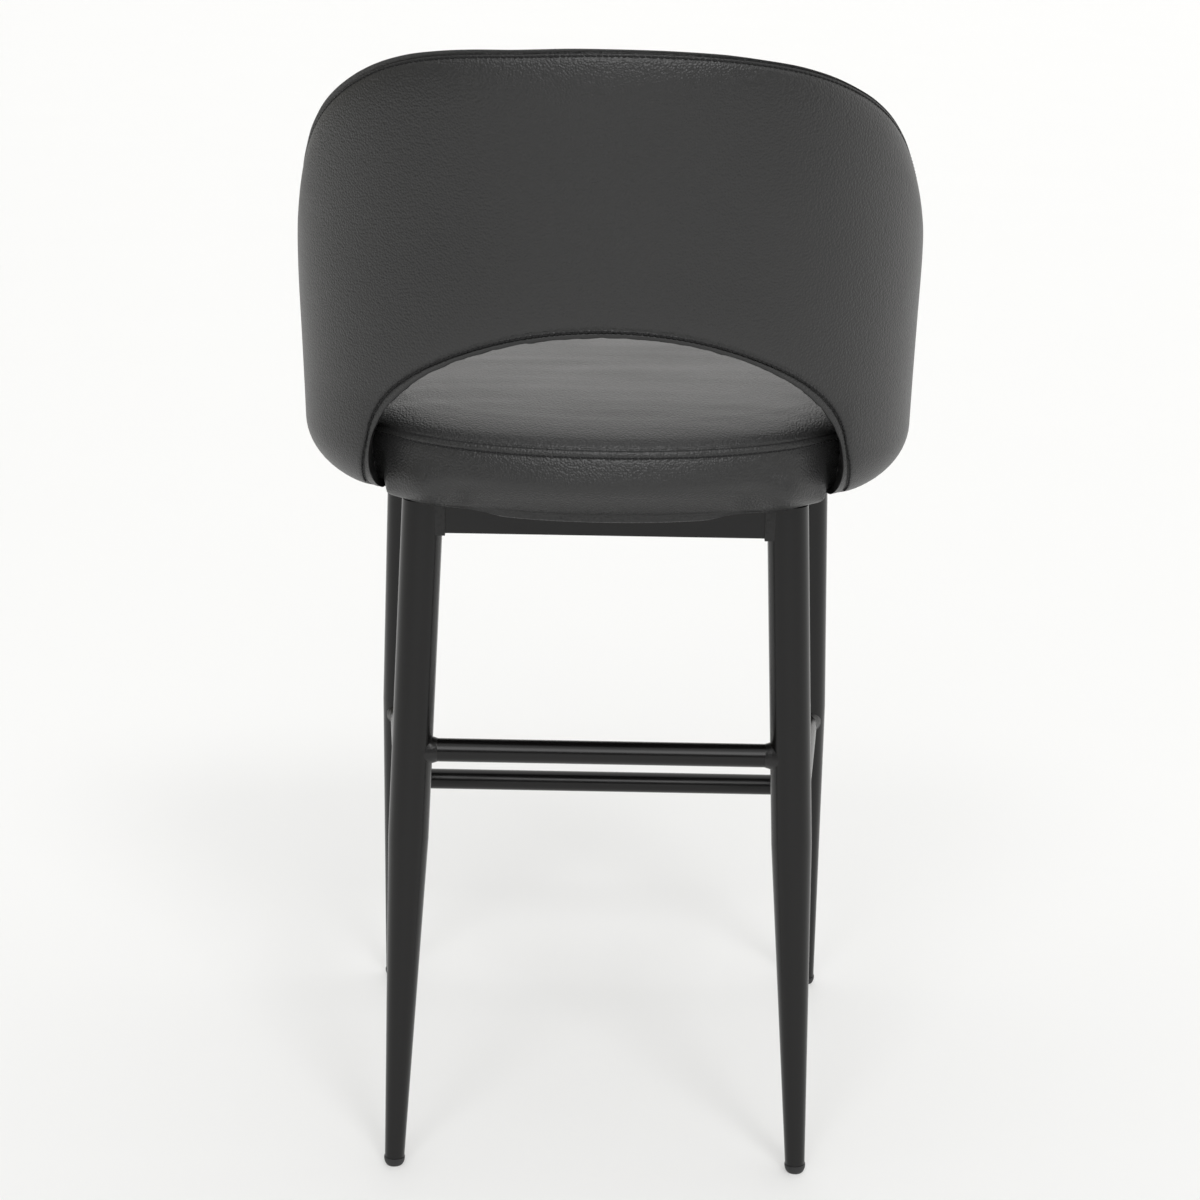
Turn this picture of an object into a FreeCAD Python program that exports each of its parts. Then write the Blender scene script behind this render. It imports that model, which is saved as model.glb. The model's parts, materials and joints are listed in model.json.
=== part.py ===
import FreeCAD, Part
import math
import os

# Bar stool: welded tube frame with a footrest, a sprung-foam seat pad and an upholstered tub back
# with an open arch behind the seat. Millimetres. +Z is up, the sitter faces -Y, +X is the sitter's
# left. The origin is on the floor, under the middle of the stool's outer box.

Vec = FreeCAD.Vector

# ---- overall sizes -------------------------------------------------------------------------
FRAME_TOP = 660.0            # floor to the top of the welded frame
BACK_HEIGHT = 415.0          # frame top to the top of the back: 1075 overall
SEAM_HEIGHT = 68.0           # frame top to the seam round the seat's top panel
SEAT_CROWN = 22.0            # rise of the seat's middle above that seam: seat height 750
SEAT_FRONT_Y = -275.6        # front edge of the seat
PLAN_CENTRE_Y = 20.0         # where the rounded rear half of the plan begins

# ---- frame ---------------------------------------------------------------------------------
LEG_RADIUS = 19.0            # straight upper part of each leg
FOOT_RADIUS = 9.5            # leg at its lower end
TAPER_TOP = 335.0            # height where the leg begins to taper
TUBE_WALL = 1.5
REAR_FOOT = (194.5, 170.0)   # half spacing across, and place front to back, on the floor
REAR_TOP = (166.0, 140.0)    # the same at the top of the frame
FRONT_FOOT = (232.0, -262.0)
FRONT_TOP = (211.0, -234.0)
RAIL_RADIUS = 11.0           # stretchers and footrest
REAR_RAIL_HEIGHT = 420.0
SIDE_RAIL_HEIGHT = 320.0
FOOTREST_HEIGHT = 240.0
APRON_WIDTH = 25.0
APRON_HEIGHT = 30.0
WELD_LEG = 5.0               # width of a weld bead along the rail
WELD_THROAT = 4.0            # height of a weld bead on the leg
GLIDE_HEIGHT = 8.0
GLIDE_FLAT_RADIUS = 7.0
GLIDE_STEM = 18.0
GLIDE_FIT = 0.3              # gap between the glide's stem and the tube
PLATE_THICKNESS = 3.0
PLATE_SIDE = 62.0            # leg of the corner plate's triangle
BOLT_SETBACK = 21.0          # bolt from each apron's inner face
BOLT_RADIUS = 4.0            # M8
BOLT_HEAD_RADIUS = 7.0
BOLT_HEAD_HEIGHT = 5.3
WASHER_RADIUS = 9.0
WASHER_THICKNESS = 1.6
HOLE_CLEARANCE = 0.5
TEE_NUT_RADIUS = 11.0
TEE_NUT_FLANGE = 1.5
TEE_NUT_BARREL = 5.5
TEE_NUT_LENGTH = 9.0

# ---- seat ----------------------------------------------------------------------------------
DUST_COVER = 0.8
DUST_COVER_INSET = 14.0      # from the seat board's edge
CLOTH_GAP = 0.1              # left each side of the dust cover
BOARD_THICKNESS = 15.0
BOARD_INSET = 6.0            # board edge inside the padded seat's lower outline
SKIN = 1.2                   # coated fabric
SOFT_GAP = 0.3               # left between soft layers
SEAT_SHELL_GAP = 0.8         # left between the seat and the tub back
SEAT_BACK_Y = 231.0          # rear edge of the seat at its seam, where it fills the arch
SEAT_LIP = 22.0              # how far the seat's lower edge draws in at the rear
SEAT_FRONT_LIP = 12.0        # and at the front
SEAT_BULGE = (150.0, 200.0)  # across, the seat swells out through the arch up to here
FRONT_POWER = 4.4            # superellipse power of the seat's front corners

# ---- tub back ------------------------------------------------------------------------------
SHELL_SIDE_LOW = 281.7       # half width just above the seat
SHELL_SIDE_HIGH = 286.6      # half width at its widest
SIDE_DRAW_IN = 6.0           # how far the side leans back in from there to the top
SHELL_BACK_LOW = 248.0       # rear face at seat level
LEAN = 29.0                  # how far the top lies behind the rear face at seat level
PLAN_POWER = 2.09            # superellipse power of the rear half of the plan
TUCK_HEIGHT = 54.0           # the lower edge curls under the seat over this height
TUCK_SIDE = 64.0             # how far it curls in at the sides
TUCK_BACK = 63.6             # and at the rear
TUCK_RELIEF = 26.0           # less curl towards the front, over the front legs
RELIEF_LENGTH = 150.0        # distance over which that relief comes in
WALL_SIDE = 30.0             # padded wall thickness at the sides
WALL_BACK = 30.0             # at the backrest
WALL_LOW_BACK = 16.0         # beside the arch
WALL_LIP = 12.0              # at the lower edge
SHELL_FRONT_Y = -236.0       # front of the arms
ARCH_HALF_WIDTH = 212.0
ARCH_HEIGHT = 130.0
CORE_EDGE_INSET = 12.0       # moulded core stops this far inside the padded edge
OUTER_FOAM_SHARE = 0.3       # share of the wall between the rear face and the core
CORE_SHARE = 0.3             # share of the wall taken by the core
ARM_HEIGHT = 198.0           # frame top to the arm's top half way along
BRACKET_WIDTH = 36.0
BRACKET_THICKNESS = 2.5
BRACKET_REACH = 62.0         # its length across
BRACKET_SCREW_SETBACK = 14.0
BRACKET_PLACES = (-130.0, 10.0)
SCREW_RADIUS = 3.0
SCREW_HEAD_RADIUS = 5.5
SCREW_HEAD_HEIGHT = 2.5
SCREW_LENGTH = 12.0

# ---- levels that follow from those sizes ---------------------------------------------------------
BOARD_BOTTOM = FRAME_TOP + DUST_COVER + 2 * CLOTH_GAP
BOARD_TOP = BOARD_BOTTOM + BOARD_THICKNESS
SHELL_BOTTOM = BOARD_BOTTOM
ARCH_CENTRE = FRAME_TOP + 40.0
LEAN_START = FRAME_TOP + 100.0
SHELL_WIDEST = FRAME_TOP + 240.0
SEAT_SEAM = FRAME_TOP + SEAM_HEIGHT
BACK_TOP = FRAME_TOP + BACK_HEIGHT
ARM_LEVEL = FRAME_TOP + ARM_HEIGHT
SLOPE = BACK_TOP - ARM_LEVEL
# side view of the padded edge, from the back's top, down to the arm and round the arm's front
EDGE_POINTS = (
    (SHELL_BACK_LOW + LEAN + 20.0, BACK_TOP + 6.0),
    (SHELL_BACK_LOW + LEAN, BACK_TOP),
    (SHELL_BACK_LOW - 5.0, ARM_LEVEL + 0.945 * SLOPE),
    (SHELL_BACK_LOW - 43.0, ARM_LEVEL + 0.853 * SLOPE),
    (SHELL_BACK_LOW - 105.0, ARM_LEVEL + 0.659 * SLOPE),
    (SHELL_BACK_LOW - 160.0, ARM_LEVEL + 0.433 * SLOPE),
    (SHELL_BACK_LOW - 238.0, ARM_LEVEL + 0.175 * SLOPE),
    (SHELL_FRONT_Y + 146.0, ARM_LEVEL),
    (SHELL_FRONT_Y + 66.0, FRAME_TOP + 0.91 * ARM_HEIGHT),
    (SHELL_FRONT_Y + 22.0, FRAME_TOP + 0.81 * ARM_HEIGHT),
    (SHELL_FRONT_Y, FRAME_TOP + 0.58 * ARM_HEIGHT),
    (SHELL_FRONT_Y + 4.0, FRAME_TOP + 0.31 * ARM_HEIGHT),
    (SHELL_FRONT_Y + 34.0, SHELL_BOTTOM - 8.0),
)
CURL_SHARES = (0.0, 0.03, 0.08, 0.16, 0.26, 0.38, 0.54, 0.75, 1.0)
CURL_LEVELS = [SHELL_BOTTOM + TUCK_HEIGHT * share for share in CURL_SHARES]
LEFT_RIGHT = (("left", 1), ("right", -1))
FAR = 700.0                  # larger than half of any piece, for cutting solids


def save(name, solids):
    """Write one node's STEP file from one solid or a group of separate solids."""
    shapes = solids if isinstance(solids, list) else [solids]
    shape = shapes[0] if len(shapes) == 1 else Part.makeCompound(shapes)
    shape.exportStep("parts/" + name + ".step")
    volume = sum(piece.Volume for piece in shape.Solids)
    print(name, len(shape.Solids), "solids", round(volume / 1000.0, 2), "cm3", shape.isValid())


def ramp(value, low, high):
    """Smooth step from 0 at low to 1 at high."""
    t = min(1.0, max(0.0, (value - low) / (high - low)))
    return t * t * (3.0 - 2.0 * t)


def curve_edge(points):
    """Smooth open edge through the points."""
    curve = Part.BSplineCurve()
    curve.interpolate(points)
    return curve.toShape()


# ---- frame ---------------------------------------------------------------------------------

def leg_points(end, side):
    """Centre of a leg at the floor and at the frame's top."""
    foot, top = (REAR_FOOT, REAR_TOP) if end == "rear" else (FRONT_FOOT, FRONT_TOP)
    return Vec(side * foot[0], foot[1], 0), Vec(side * top[0], top[1], FRAME_TOP)


def leg_centre(end, side, height):
    foot, top = leg_points(end, side)
    return foot + (top - foot) * (height / FRAME_TOP)


def leg_turning(end, side, inset):
    """Solid of revolution along the leg, inset from its surface, cut flat at the frame's top."""
    foot, top = leg_points(end, side)
    length = (top - foot).Length
    outline = [Vec(0, 0, GLIDE_HEIGHT - inset), Vec(FOOT_RADIUS - inset, 0, GLIDE_HEIGHT - inset),
               Vec(LEG_RADIUS - inset, 0, TAPER_TOP), Vec(LEG_RADIUS - inset, 0, length + LEG_RADIUS),
               Vec(0, 0, length + LEG_RADIUS), Vec(0, 0, GLIDE_HEIGHT - inset)]
    solid = Part.Face(Part.makePolygon(outline)).revolve(Vec(0, 0, 0), Vec(0, 0, 1), 360)
    solid.Placement = FreeCAD.Placement(foot, FreeCAD.Rotation(Vec(0, 0, 1), top - foot))
    above = Part.makeBox(2 * FAR, 2 * FAR, FAR, Vec(-FAR, -FAR, FRAME_TOP))
    return solid.cut(above)


def leg(end, side):
    return leg_turning(end, side, 0.0).cut(leg_turning(end, side, TUBE_WALL))


def glide(end, side):
    """Domed plastic foot with a stem pushed into the tube, flat where it stands."""
    foot, top = leg_points(end, side)
    stem = FOOT_RADIUS - TUBE_WALL - GLIDE_FIT
    start = Vec(GLIDE_FLAT_RADIUS, 0, -1)
    side_top = Vec(FOOT_RADIUS + 0.5, 0, GLIDE_HEIGHT)
    bulge = Vec(FOOT_RADIUS + 0.2, 0, GLIDE_HEIGHT * 0.45)
    edges = [Part.LineSegment(Vec(0, 0, -1), start).toShape(),
             Part.Arc(start, bulge, side_top).toShape(),
             Part.LineSegment(side_top, Vec(stem, 0, GLIDE_HEIGHT)).toShape(),
             Part.LineSegment(Vec(stem, 0, GLIDE_HEIGHT), Vec(stem, 0, GLIDE_HEIGHT + GLIDE_STEM)).toShape(),
             Part.LineSegment(Vec(stem, 0, GLIDE_HEIGHT + GLIDE_STEM),
                              Vec(0, 0, GLIDE_HEIGHT + GLIDE_STEM)).toShape(),
             Part.LineSegment(Vec(0, 0, GLIDE_HEIGHT + GLIDE_STEM), Vec(0, 0, -1)).toShape()]
    solid = Part.Face(Part.Wire(edges)).revolve(Vec(0, 0, 0), Vec(0, 0, 1), 360)
    solid.Placement = FreeCAD.Placement(foot, FreeCAD.Rotation(Vec(0, 0, 1), top - foot))
    return solid.cut(Part.makeBox(2 * FAR, 2 * FAR, FAR, Vec(-FAR, -FAR, -FAR)))


def round_bar(start, end, radius):
    return Part.makeCylinder(radius, (end - start).Length, start, end - start)


def square_bar(start, end, width, height):
    """Rectangular bar between two points, upright, with its middle on the line between them."""
    run = end - start
    across = Vec(0, 0, 1).cross(run).normalize()
    up = Vec(0, 0, 1)
    corners = [start + across * (width * a / 2.0) + up * (height * b / 2.0)
               for a, b in ((-1, -1), (1, -1), (1, 1), (-1, 1), (-1, -1))]
    return Part.Face(Part.makePolygon(corners)).extrude(run)


def rail_ends(name):
    """The two legs that a rail joins."""
    ends = {"front": (("front", 1), ("front", -1)), "rear": (("rear", 1), ("rear", -1)),
            "left": (("rear", 1), ("front", 1)), "right": (("rear", -1), ("front", -1))}
    return ends[name]


def between_legs(name, height):
    first, second = rail_ends(name)
    return leg_centre(first[0], first[1], height), leg_centre(second[0], second[1], height)


def outside_legs(solid, name):
    """Trim a bar's ends to the surfaces of the two legs that it joins."""
    for end, side in rail_ends(name):
        solid = solid.cut(leg_turning(end, side, 0.0))
    return solid


def rail(name, height):
    start, end = between_legs(name, height)
    tube = round_bar(start, end, RAIL_RADIUS).cut(round_bar(start, end, RAIL_RADIUS - TUBE_WALL))
    return outside_legs(tube, name)


def apron(name):
    start, end = between_legs(name, FRAME_TOP - APRON_HEIGHT / 2.0)
    tube = square_bar(start, end, APRON_WIDTH, APRON_HEIGHT)
    bore = square_bar(start, end, APRON_WIDTH - 2 * TUBE_WALL, APRON_HEIGHT - 2 * TUBE_WALL)
    return outside_legs(tube.cut(bore), name)


def rail_welds(name, height):
    """Two fillet beads, one round each end of a round rail."""
    beads = []
    start, end = between_legs(name, height)
    bar = round_bar(start, end, RAIL_RADIUS)
    big = RAIL_RADIUS + WELD_THROAT
    near = math.sqrt(LEG_RADIUS ** 2 - big ** 2)
    for here, there in ((start, end), (end, start)):
        run = (there - here).normalize()
        cone = Part.makeCone(big, RAIL_RADIUS, LEG_RADIUS + WELD_LEG - near, here + run * near, run)
        beads.append(outside_legs(cone.cut(bar), name))
    return beads


def apron_bar(name):
    """Outside of an apron tube, as a solid from leg centre to leg centre."""
    start, end = between_legs(name, FRAME_TOP - APRON_HEIGHT / 2.0)
    return square_bar(start, end, APRON_WIDTH, APRON_HEIGHT)


def apron_welds(name):
    """Two collars of weld, one round each end of an apron tube."""
    beads = []
    start, end = between_legs(name, FRAME_TOP - APRON_HEIGHT / 2.0)
    for here, there in ((start, end), (end, start)):
        tip = here + (there - here).normalize() * (LEG_RADIUS + WELD_LEG / 2.0)
        collar = square_bar(here, tip, APRON_WIDTH + WELD_THROAT, APRON_HEIGHT)
        drop = Vec(0, 0, WELD_THROAT / 2.0)
        below = square_bar(here - drop, tip - drop, APRON_WIDTH + WELD_THROAT, APRON_HEIGHT)
        beads.append(outside_legs(collar.fuse(below).removeSplitter(), name))
    return beads


def plate_corner(end, side):
    """Inner corner of two aprons' faces, and the directions along them."""
    height = FRAME_TOP - APRON_HEIGHT / 2.0
    here = leg_centre(end, side, height)
    across = (leg_centre(end, -side, height) - here).normalize()
    other = "front" if end == "rear" else "rear"
    along = (leg_centre(other, side, height) - here).normalize()
    sine = across.cross(along).Length
    corner = here + (across + along) * (APRON_WIDTH / 2.0 / sine)
    corner.z = FRAME_TOP
    return corner, across, along


def bolt_place(end, side):
    corner, across, along = plate_corner(end, side)
    sine = across.cross(along).Length
    return corner + (across + along) * (BOLT_SETBACK / sine)


def vertical_pin(place, radius, low, high):
    return Part.makeCylinder(radius, high - low, Vec(place.x, place.y, low))


def mounting_plate(end, side):
    """Corner plate welded between two aprons, with the seat bolt's hole."""
    corner, across, along = plate_corner(end, side)
    low = corner - Vec(0, 0, PLATE_THICKNESS)
    outline = [low, low + across * PLATE_SIDE, low + along * PLATE_SIDE, low]
    plate = Part.Face(Part.makePolygon(outline)).extrude(Vec(0, 0, PLATE_THICKNESS))
    hole = vertical_pin(bolt_place(end, side), BOLT_RADIUS + HOLE_CLEARANCE, low.z - 1, FRAME_TOP + 1)
    plate = plate.cut(leg_turning(end, side, 0.0))
    return plate.cut(hole)


def seat_bolt(end, side):
    """Hexagon head bolt, from below the washer up into the tee nut."""
    place = bolt_place(end, side)
    head_top = FRAME_TOP - PLATE_THICKNESS - WASHER_THICKNESS
    corners = [Vec(place.x + BOLT_HEAD_RADIUS * math.cos(math.radians(60 * i)),
                   place.y + BOLT_HEAD_RADIUS * math.sin(math.radians(60 * i)),
                   head_top - BOLT_HEAD_HEIGHT) for i in range(7)]
    head = Part.Face(Part.makePolygon(corners)).extrude(Vec(0, 0, BOLT_HEAD_HEIGHT))
    shank = vertical_pin(place, BOLT_RADIUS - 0.2, head_top - 1, BOARD_TOP - 2)
    return head.fuse(shank)


def washer(end, side):
    place = bolt_place(end, side)
    top = FRAME_TOP - PLATE_THICKNESS
    ring = vertical_pin(place, WASHER_RADIUS, top - WASHER_THICKNESS, top)
    return ring.cut(vertical_pin(place, BOLT_RADIUS + HOLE_CLEARANCE / 2.0, top - 5, top + 1))


def tee_nut(end, side, grow=0.0):
    """Flanged nut sunk into the seat board from above; grown, it is the pocket for that nut."""
    place = bolt_place(end, side)
    flange = vertical_pin(place, TEE_NUT_RADIUS + grow, BOARD_TOP, BOARD_TOP + TEE_NUT_FLANGE + grow)
    barrel = vertical_pin(place, TEE_NUT_BARREL + grow, BOARD_TOP - TEE_NUT_LENGTH - grow, BOARD_TOP + 1)
    body = flange.fuse(barrel)
    if grow:
        return body
    return body.cut(vertical_pin(place, BOLT_RADIUS, BOARD_TOP - 20, BOARD_TOP + 5))


# ---- plan shapes of the tub and the seat ------------------------------------------------------

def tuck(height):
    """0 on the upright wall, 1 at the lower edge, along a quarter ellipse."""
    fall = min(1.0, max(0.0, (SHELL_BOTTOM + TUCK_HEIGHT - height) / TUCK_HEIGHT))
    return 1.0 - math.sqrt(max(0.0, 1.0 - fall ** 2))


def shell_side(height, y):
    """Half width of the tub's outer face at a height and a place front to back."""
    low = SHELL_SIDE_LOW + (SHELL_SIDE_HIGH - SHELL_SIDE_LOW) * ramp(height, ARCH_CENTRE, SHELL_WIDEST)
    relief = TUCK_RELIEF * ramp(PLAN_CENTRE_Y - y, 0.0, RELIEF_LENGTH)
    above = max(0.0, height - SHELL_WIDEST) / (BACK_TOP - SHELL_WIDEST)
    return low - SIDE_DRAW_IN * above - (TUCK_SIDE - relief) * tuck(height)


def shell_back(height):
    """Rear face of the tub on its centre line."""
    lean = LEAN * max(0.0, height - LEAN_START) / (BACK_TOP - LEAN_START)
    return SHELL_BACK_LOW + lean - TUCK_BACK * tuck(height)


def wall_side(height):
    return WALL_LIP + (WALL_SIDE - WALL_LIP) * ramp(height, SHELL_BOTTOM, SHELL_BOTTOM + 40.0)


def wall_back(height):
    low = WALL_LIP + (WALL_LOW_BACK - WALL_LIP) * ramp(height, SHELL_BOTTOM, SHELL_BOTTOM + 25.0)
    return low + (WALL_BACK - WALL_LOW_BACK) * ramp(height, SEAT_SEAM + SEAT_CROWN, SEAT_SEAM + 120.0)


def rear_half(half_width, back_y, height, steps):
    """Points round the rear half of a plan, from the left side to the right."""
    points = []
    for i in range(steps + 1):
        angle = math.pi / 2.0 - math.pi * i / steps
        sine = math.sin(angle)
        x = half_width * math.copysign(abs(sine) ** (2.0 / PLAN_POWER), sine)
        y = PLAN_CENTRE_Y + (back_y - PLAN_CENTRE_Y) * abs(math.cos(angle)) ** (2.0 / PLAN_POWER)
        points.append(Vec(x, y, height))
    return points


def tub_curve(height, side_inset, back_inset):
    """Open U in plan: arm, round the rear, and the other arm."""
    reach = PLAN_CENTRE_Y - SHELL_FRONT_Y + 8.0
    arm_ys = [PLAN_CENTRE_Y - reach * i / 8.0 for i in range(8, 0, -1)]
    left = [Vec(shell_side(height, y) - side_inset, y, height) for y in arm_ys]
    middle = rear_half(shell_side(height, PLAN_CENTRE_Y) - side_inset,
                       shell_back(height) - back_inset, height, 16)
    right = [Vec(-p.x, p.y, height) for p in reversed(left)]
    return curve_edge(left + middle + right)


def tub_layer(outer, inner):
    """Upright layer of the tub between two insets; each gives an inset from the wall's thickness."""
    seat_level = SEAT_SEAM + SEAT_CROWN
    rise = [seat_level + (BACK_TOP + 4.0 - seat_level) * i / 9.0 for i in range(10)]
    wires = []
    for height in CURL_LEVELS + rise:
        sides = (wall_side(height), wall_back(height))
        outer_edge = tub_curve(height, outer(sides[0]), outer(sides[1]))
        inner_edge = tub_curve(height, inner(sides[0]), inner(sides[1]))
        ends = [Part.LineSegment(outer_edge.Vertexes[k].Point, inner_edge.Vertexes[k].Point).toShape()
                for k in (0, 1)]
        wires.append(Part.Wire([outer_edge, ends[1], inner_edge, ends[0]]))
    return Part.makeLoft(wires, True, True)


def edge_outline(inset):
    """Region kept in side view: below the padded edge, moved in by inset."""
    moved = []
    for i, (y, z) in enumerate(EDGE_POINTS):
        before = EDGE_POINTS[max(0, i - 1)]
        after = EDGE_POINTS[min(len(EDGE_POINTS) - 1, i + 1)]
        run_y = after[0] - before[0]
        run_z = after[1] - before[1]
        length = math.hypot(run_y, run_z)
        moved.append(Vec(-FAR, y - run_z / length * inset, z + run_y / length * inset))
    edge = curve_edge(moved)
    low = SHELL_BOTTOM - 40.0
    back = Vec(-FAR, moved[0].y, low)
    front = Vec(-FAR, moved[-1].y, low)
    lines = [Part.LineSegment(moved[-1], front).toShape(), Part.LineSegment(front, back).toShape(),
             Part.LineSegment(back, moved[0]).toShape()]
    return Part.Face(Part.Wire([edge] + lines)).extrude(Vec(2 * FAR, 0, 0))


def arch_cutter(grow):
    """Elliptical opening through the rear wall, behind the seat."""
    ellipse = Part.Ellipse(Vec(0, 0, 0), ARCH_HALF_WIDTH + grow, ARCH_HEIGHT + grow)
    face = Part.Face(Part.Wire([ellipse.toShape()]))
    face.rotate(Vec(0, 0, 0), Vec(1, 0, 0), 90)
    face.translate(Vec(0, PLAN_CENTRE_Y, ARCH_CENTRE))
    return face.extrude(Vec(0, FAR, 0))


def trimmed(layer, inset):
    """Trim a layer to the padded edge and the arch, both moved in by inset."""
    return layer.common(edge_outline(inset)).cut(arch_cutter(inset))


def front_shares():
    """Shares of the half width and of the depth round the front of the seat, right to left."""
    side = [((1.0 - s ** FRONT_POWER) ** (1.0 / FRONT_POWER), s)
            for s in (0.12, 0.25, 0.38, 0.5, 0.62, 0.73, 0.82, 0.89, 0.94, 0.975)]
    side += [(x, (1.0 - x ** FRONT_POWER) ** (1.0 / FRONT_POWER)) for x in (0.45, 0.25)]
    return [(-x, s) for x, s in side] + [(0.0, 1.0)] + side[::-1]


def seat_curve(height, inset):
    """Closed plan of the seat: inside the tub, but swelling out through the arch at the rear."""
    rise = ramp(height, SHELL_BOTTOM, SEAT_SEAM - 30.0)
    room = wall_side(height) + SEAT_SHELL_GAP + inset
    held_back = shell_back(height) - wall_back(height) - SEAT_SHELL_GAP - inset
    free_back = SEAT_BACK_Y - SEAT_LIP * (1.0 - rise) - inset
    front = SEAT_FRONT_Y + SEAT_FRONT_LIP * (1.0 - rise) + inset
    points = rear_half(shell_side(height, PLAN_CENTRE_Y) - room, held_back, height, 16)
    for point in points:
        point.y += (free_back - held_back) * (1.0 - ramp(abs(point.x), SEAT_BULGE[0], SEAT_BULGE[1]))
    for across, along in front_shares():
        y = PLAN_CENTRE_Y - (PLAN_CENTRE_Y - front) * along
        points.append(Vec((shell_side(height, y) - room) * across, y, height))
    return points


def seat_wire(height, inset):
    curve = Part.BSplineCurve()
    curve.interpolate(Points=seat_curve(height, inset), PeriodicFlag=True)
    return Part.Wire([curve.toShape()])


def seat_lower(inset, past=0.0):
    """Padded part of the seat below its seam; past runs it straight on beyond both ends."""
    wires = [seat_wire(height, inset) for height in CURL_LEVELS + [SEAT_SEAM]]
    if past:
        below = seat_wire(BOARD_BOTTOM, inset)
        below.translate(Vec(0, 0, -past))
        above = seat_wire(SEAT_SEAM, inset)
        above.translate(Vec(0, 0, past))
        wires = [below] + wires + [above]
    return Part.makeLoft(wires, True, True)


def seat_upper(inset, drop):
    """Crowned part of the seat above its seam."""
    wires = [seat_wire(SEAT_SEAM, inset)]
    for share, draw in ((0.2, 3.0), (0.36, 8.0), (0.5, 16.0), (0.64, 28.0), (0.78, 46.0), (0.9, 76.0),
                        (0.97, 110.0), (1.0, 150.0)):
        wire = seat_wire(SEAT_SEAM, inset + draw)
        wire.translate(Vec(0, 0, share * SEAT_CROWN - drop))
        wires.append(wire)
    return Part.makeLoft(wires, True, True)


def board_outline(inset):
    return Part.Face(seat_wire(BOARD_BOTTOM, BOARD_INSET + inset))


# ---- pieces ----------------------------------------------------------------------------------

def bracket_end(y):
    """Place across where a bracket meets the inner face of the moulded core."""
    ends = [shell_side(BOARD_TOP, y + d) for d in (-BRACKET_WIDTH / 2.0, 0.0, BRACKET_WIDTH / 2.0)]
    return min(ends) - wall_side(BOARD_TOP) * (OUTER_FOAM_SHARE + CORE_SHARE) - SOFT_GAP


def bracket(y, side, gap=0.0):
    """Steel strap lying on the seat board, its outer end against the moulded core."""
    half = BRACKET_WIDTH / 2.0 + gap
    strap = Part.makeBox(BRACKET_REACH + 2 * gap, 2 * half, BRACKET_THICKNESS + gap,
                         Vec(bracket_end(y) - BRACKET_REACH - gap, y - half, BOARD_TOP))
    return strap if side > 0 else strap.mirror(Vec(0, 0, 0), Vec(1, 0, 0))


def screw_place(y, side):
    return Vec(side * (bracket_end(y) - BRACKET_REACH + BRACKET_SCREW_SETBACK), y, 0)


def bracket_screw(y, side):
    place = screw_place(y, side)
    height = BOARD_TOP + BRACKET_THICKNESS
    head = vertical_pin(place, SCREW_HEAD_RADIUS, height, height + SCREW_HEAD_HEIGHT)
    return head.fuse(vertical_pin(place, SCREW_RADIUS, BOARD_TOP - SCREW_LENGTH, height + 1))


def bracket_room(y, side):
    """Space kept in the soft layers for one bracket and the head of its screw."""
    top = BOARD_TOP + BRACKET_THICKNESS + SCREW_HEAD_HEIGHT + SOFT_GAP
    head = vertical_pin(screw_place(y, side), SCREW_HEAD_RADIUS + SOFT_GAP, BOARD_TOP, top)
    return bracket(y, side, SOFT_GAP).fuse(head)


def corners():
    return [(end, side) for end in ("front", "rear") for name, side in LEFT_RIGHT]


def cut_all(solid, tools):
    for tool in tools:
        solid = solid.cut(tool)
    return solid


def make_frame():
    for end in ("front", "rear"):
        for name, side in LEFT_RIGHT:
            save("leg_" + end + "_" + name, leg(end, side))
            save("glide_" + end + "_" + name, glide(end, side))
    for name in ("front", "rear", "left", "right"):
        save("apron_" + name, apron(name))
    save("footrest_front", rail("front", FOOTREST_HEIGHT))
    save("stretcher_rear", rail("rear", REAR_RAIL_HEIGHT))
    save("stretcher_left", rail("left", SIDE_RAIL_HEIGHT))
    save("stretcher_right", rail("right", SIDE_RAIL_HEIGHT))
    heights = {"front": FOOTREST_HEIGHT, "rear": REAR_RAIL_HEIGHT,
               "left": SIDE_RAIL_HEIGHT, "right": SIDE_RAIL_HEIGHT}
    save("rail_welds", [bead for name in heights for bead in rail_welds(name, heights[name])])
    plates = [mounting_plate(end, side) for end, side in corners()]
    save("mounting_plates", plates)
    collars = []
    for name in heights:
        for bead in apron_welds(name):
            collars.append(cut_all(bead, [apron_bar(other) for other in heights] + plates + collars))
    save("apron_welds", [solid for collar in collars for solid in collar.Solids])
    save("seat_bolts", [seat_bolt(end, side) for end, side in corners()])
    save("seat_washers", [washer(end, side) for end, side in corners()])
    save("tee_nuts", [tee_nut(end, side) for end, side in corners()])


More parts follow.
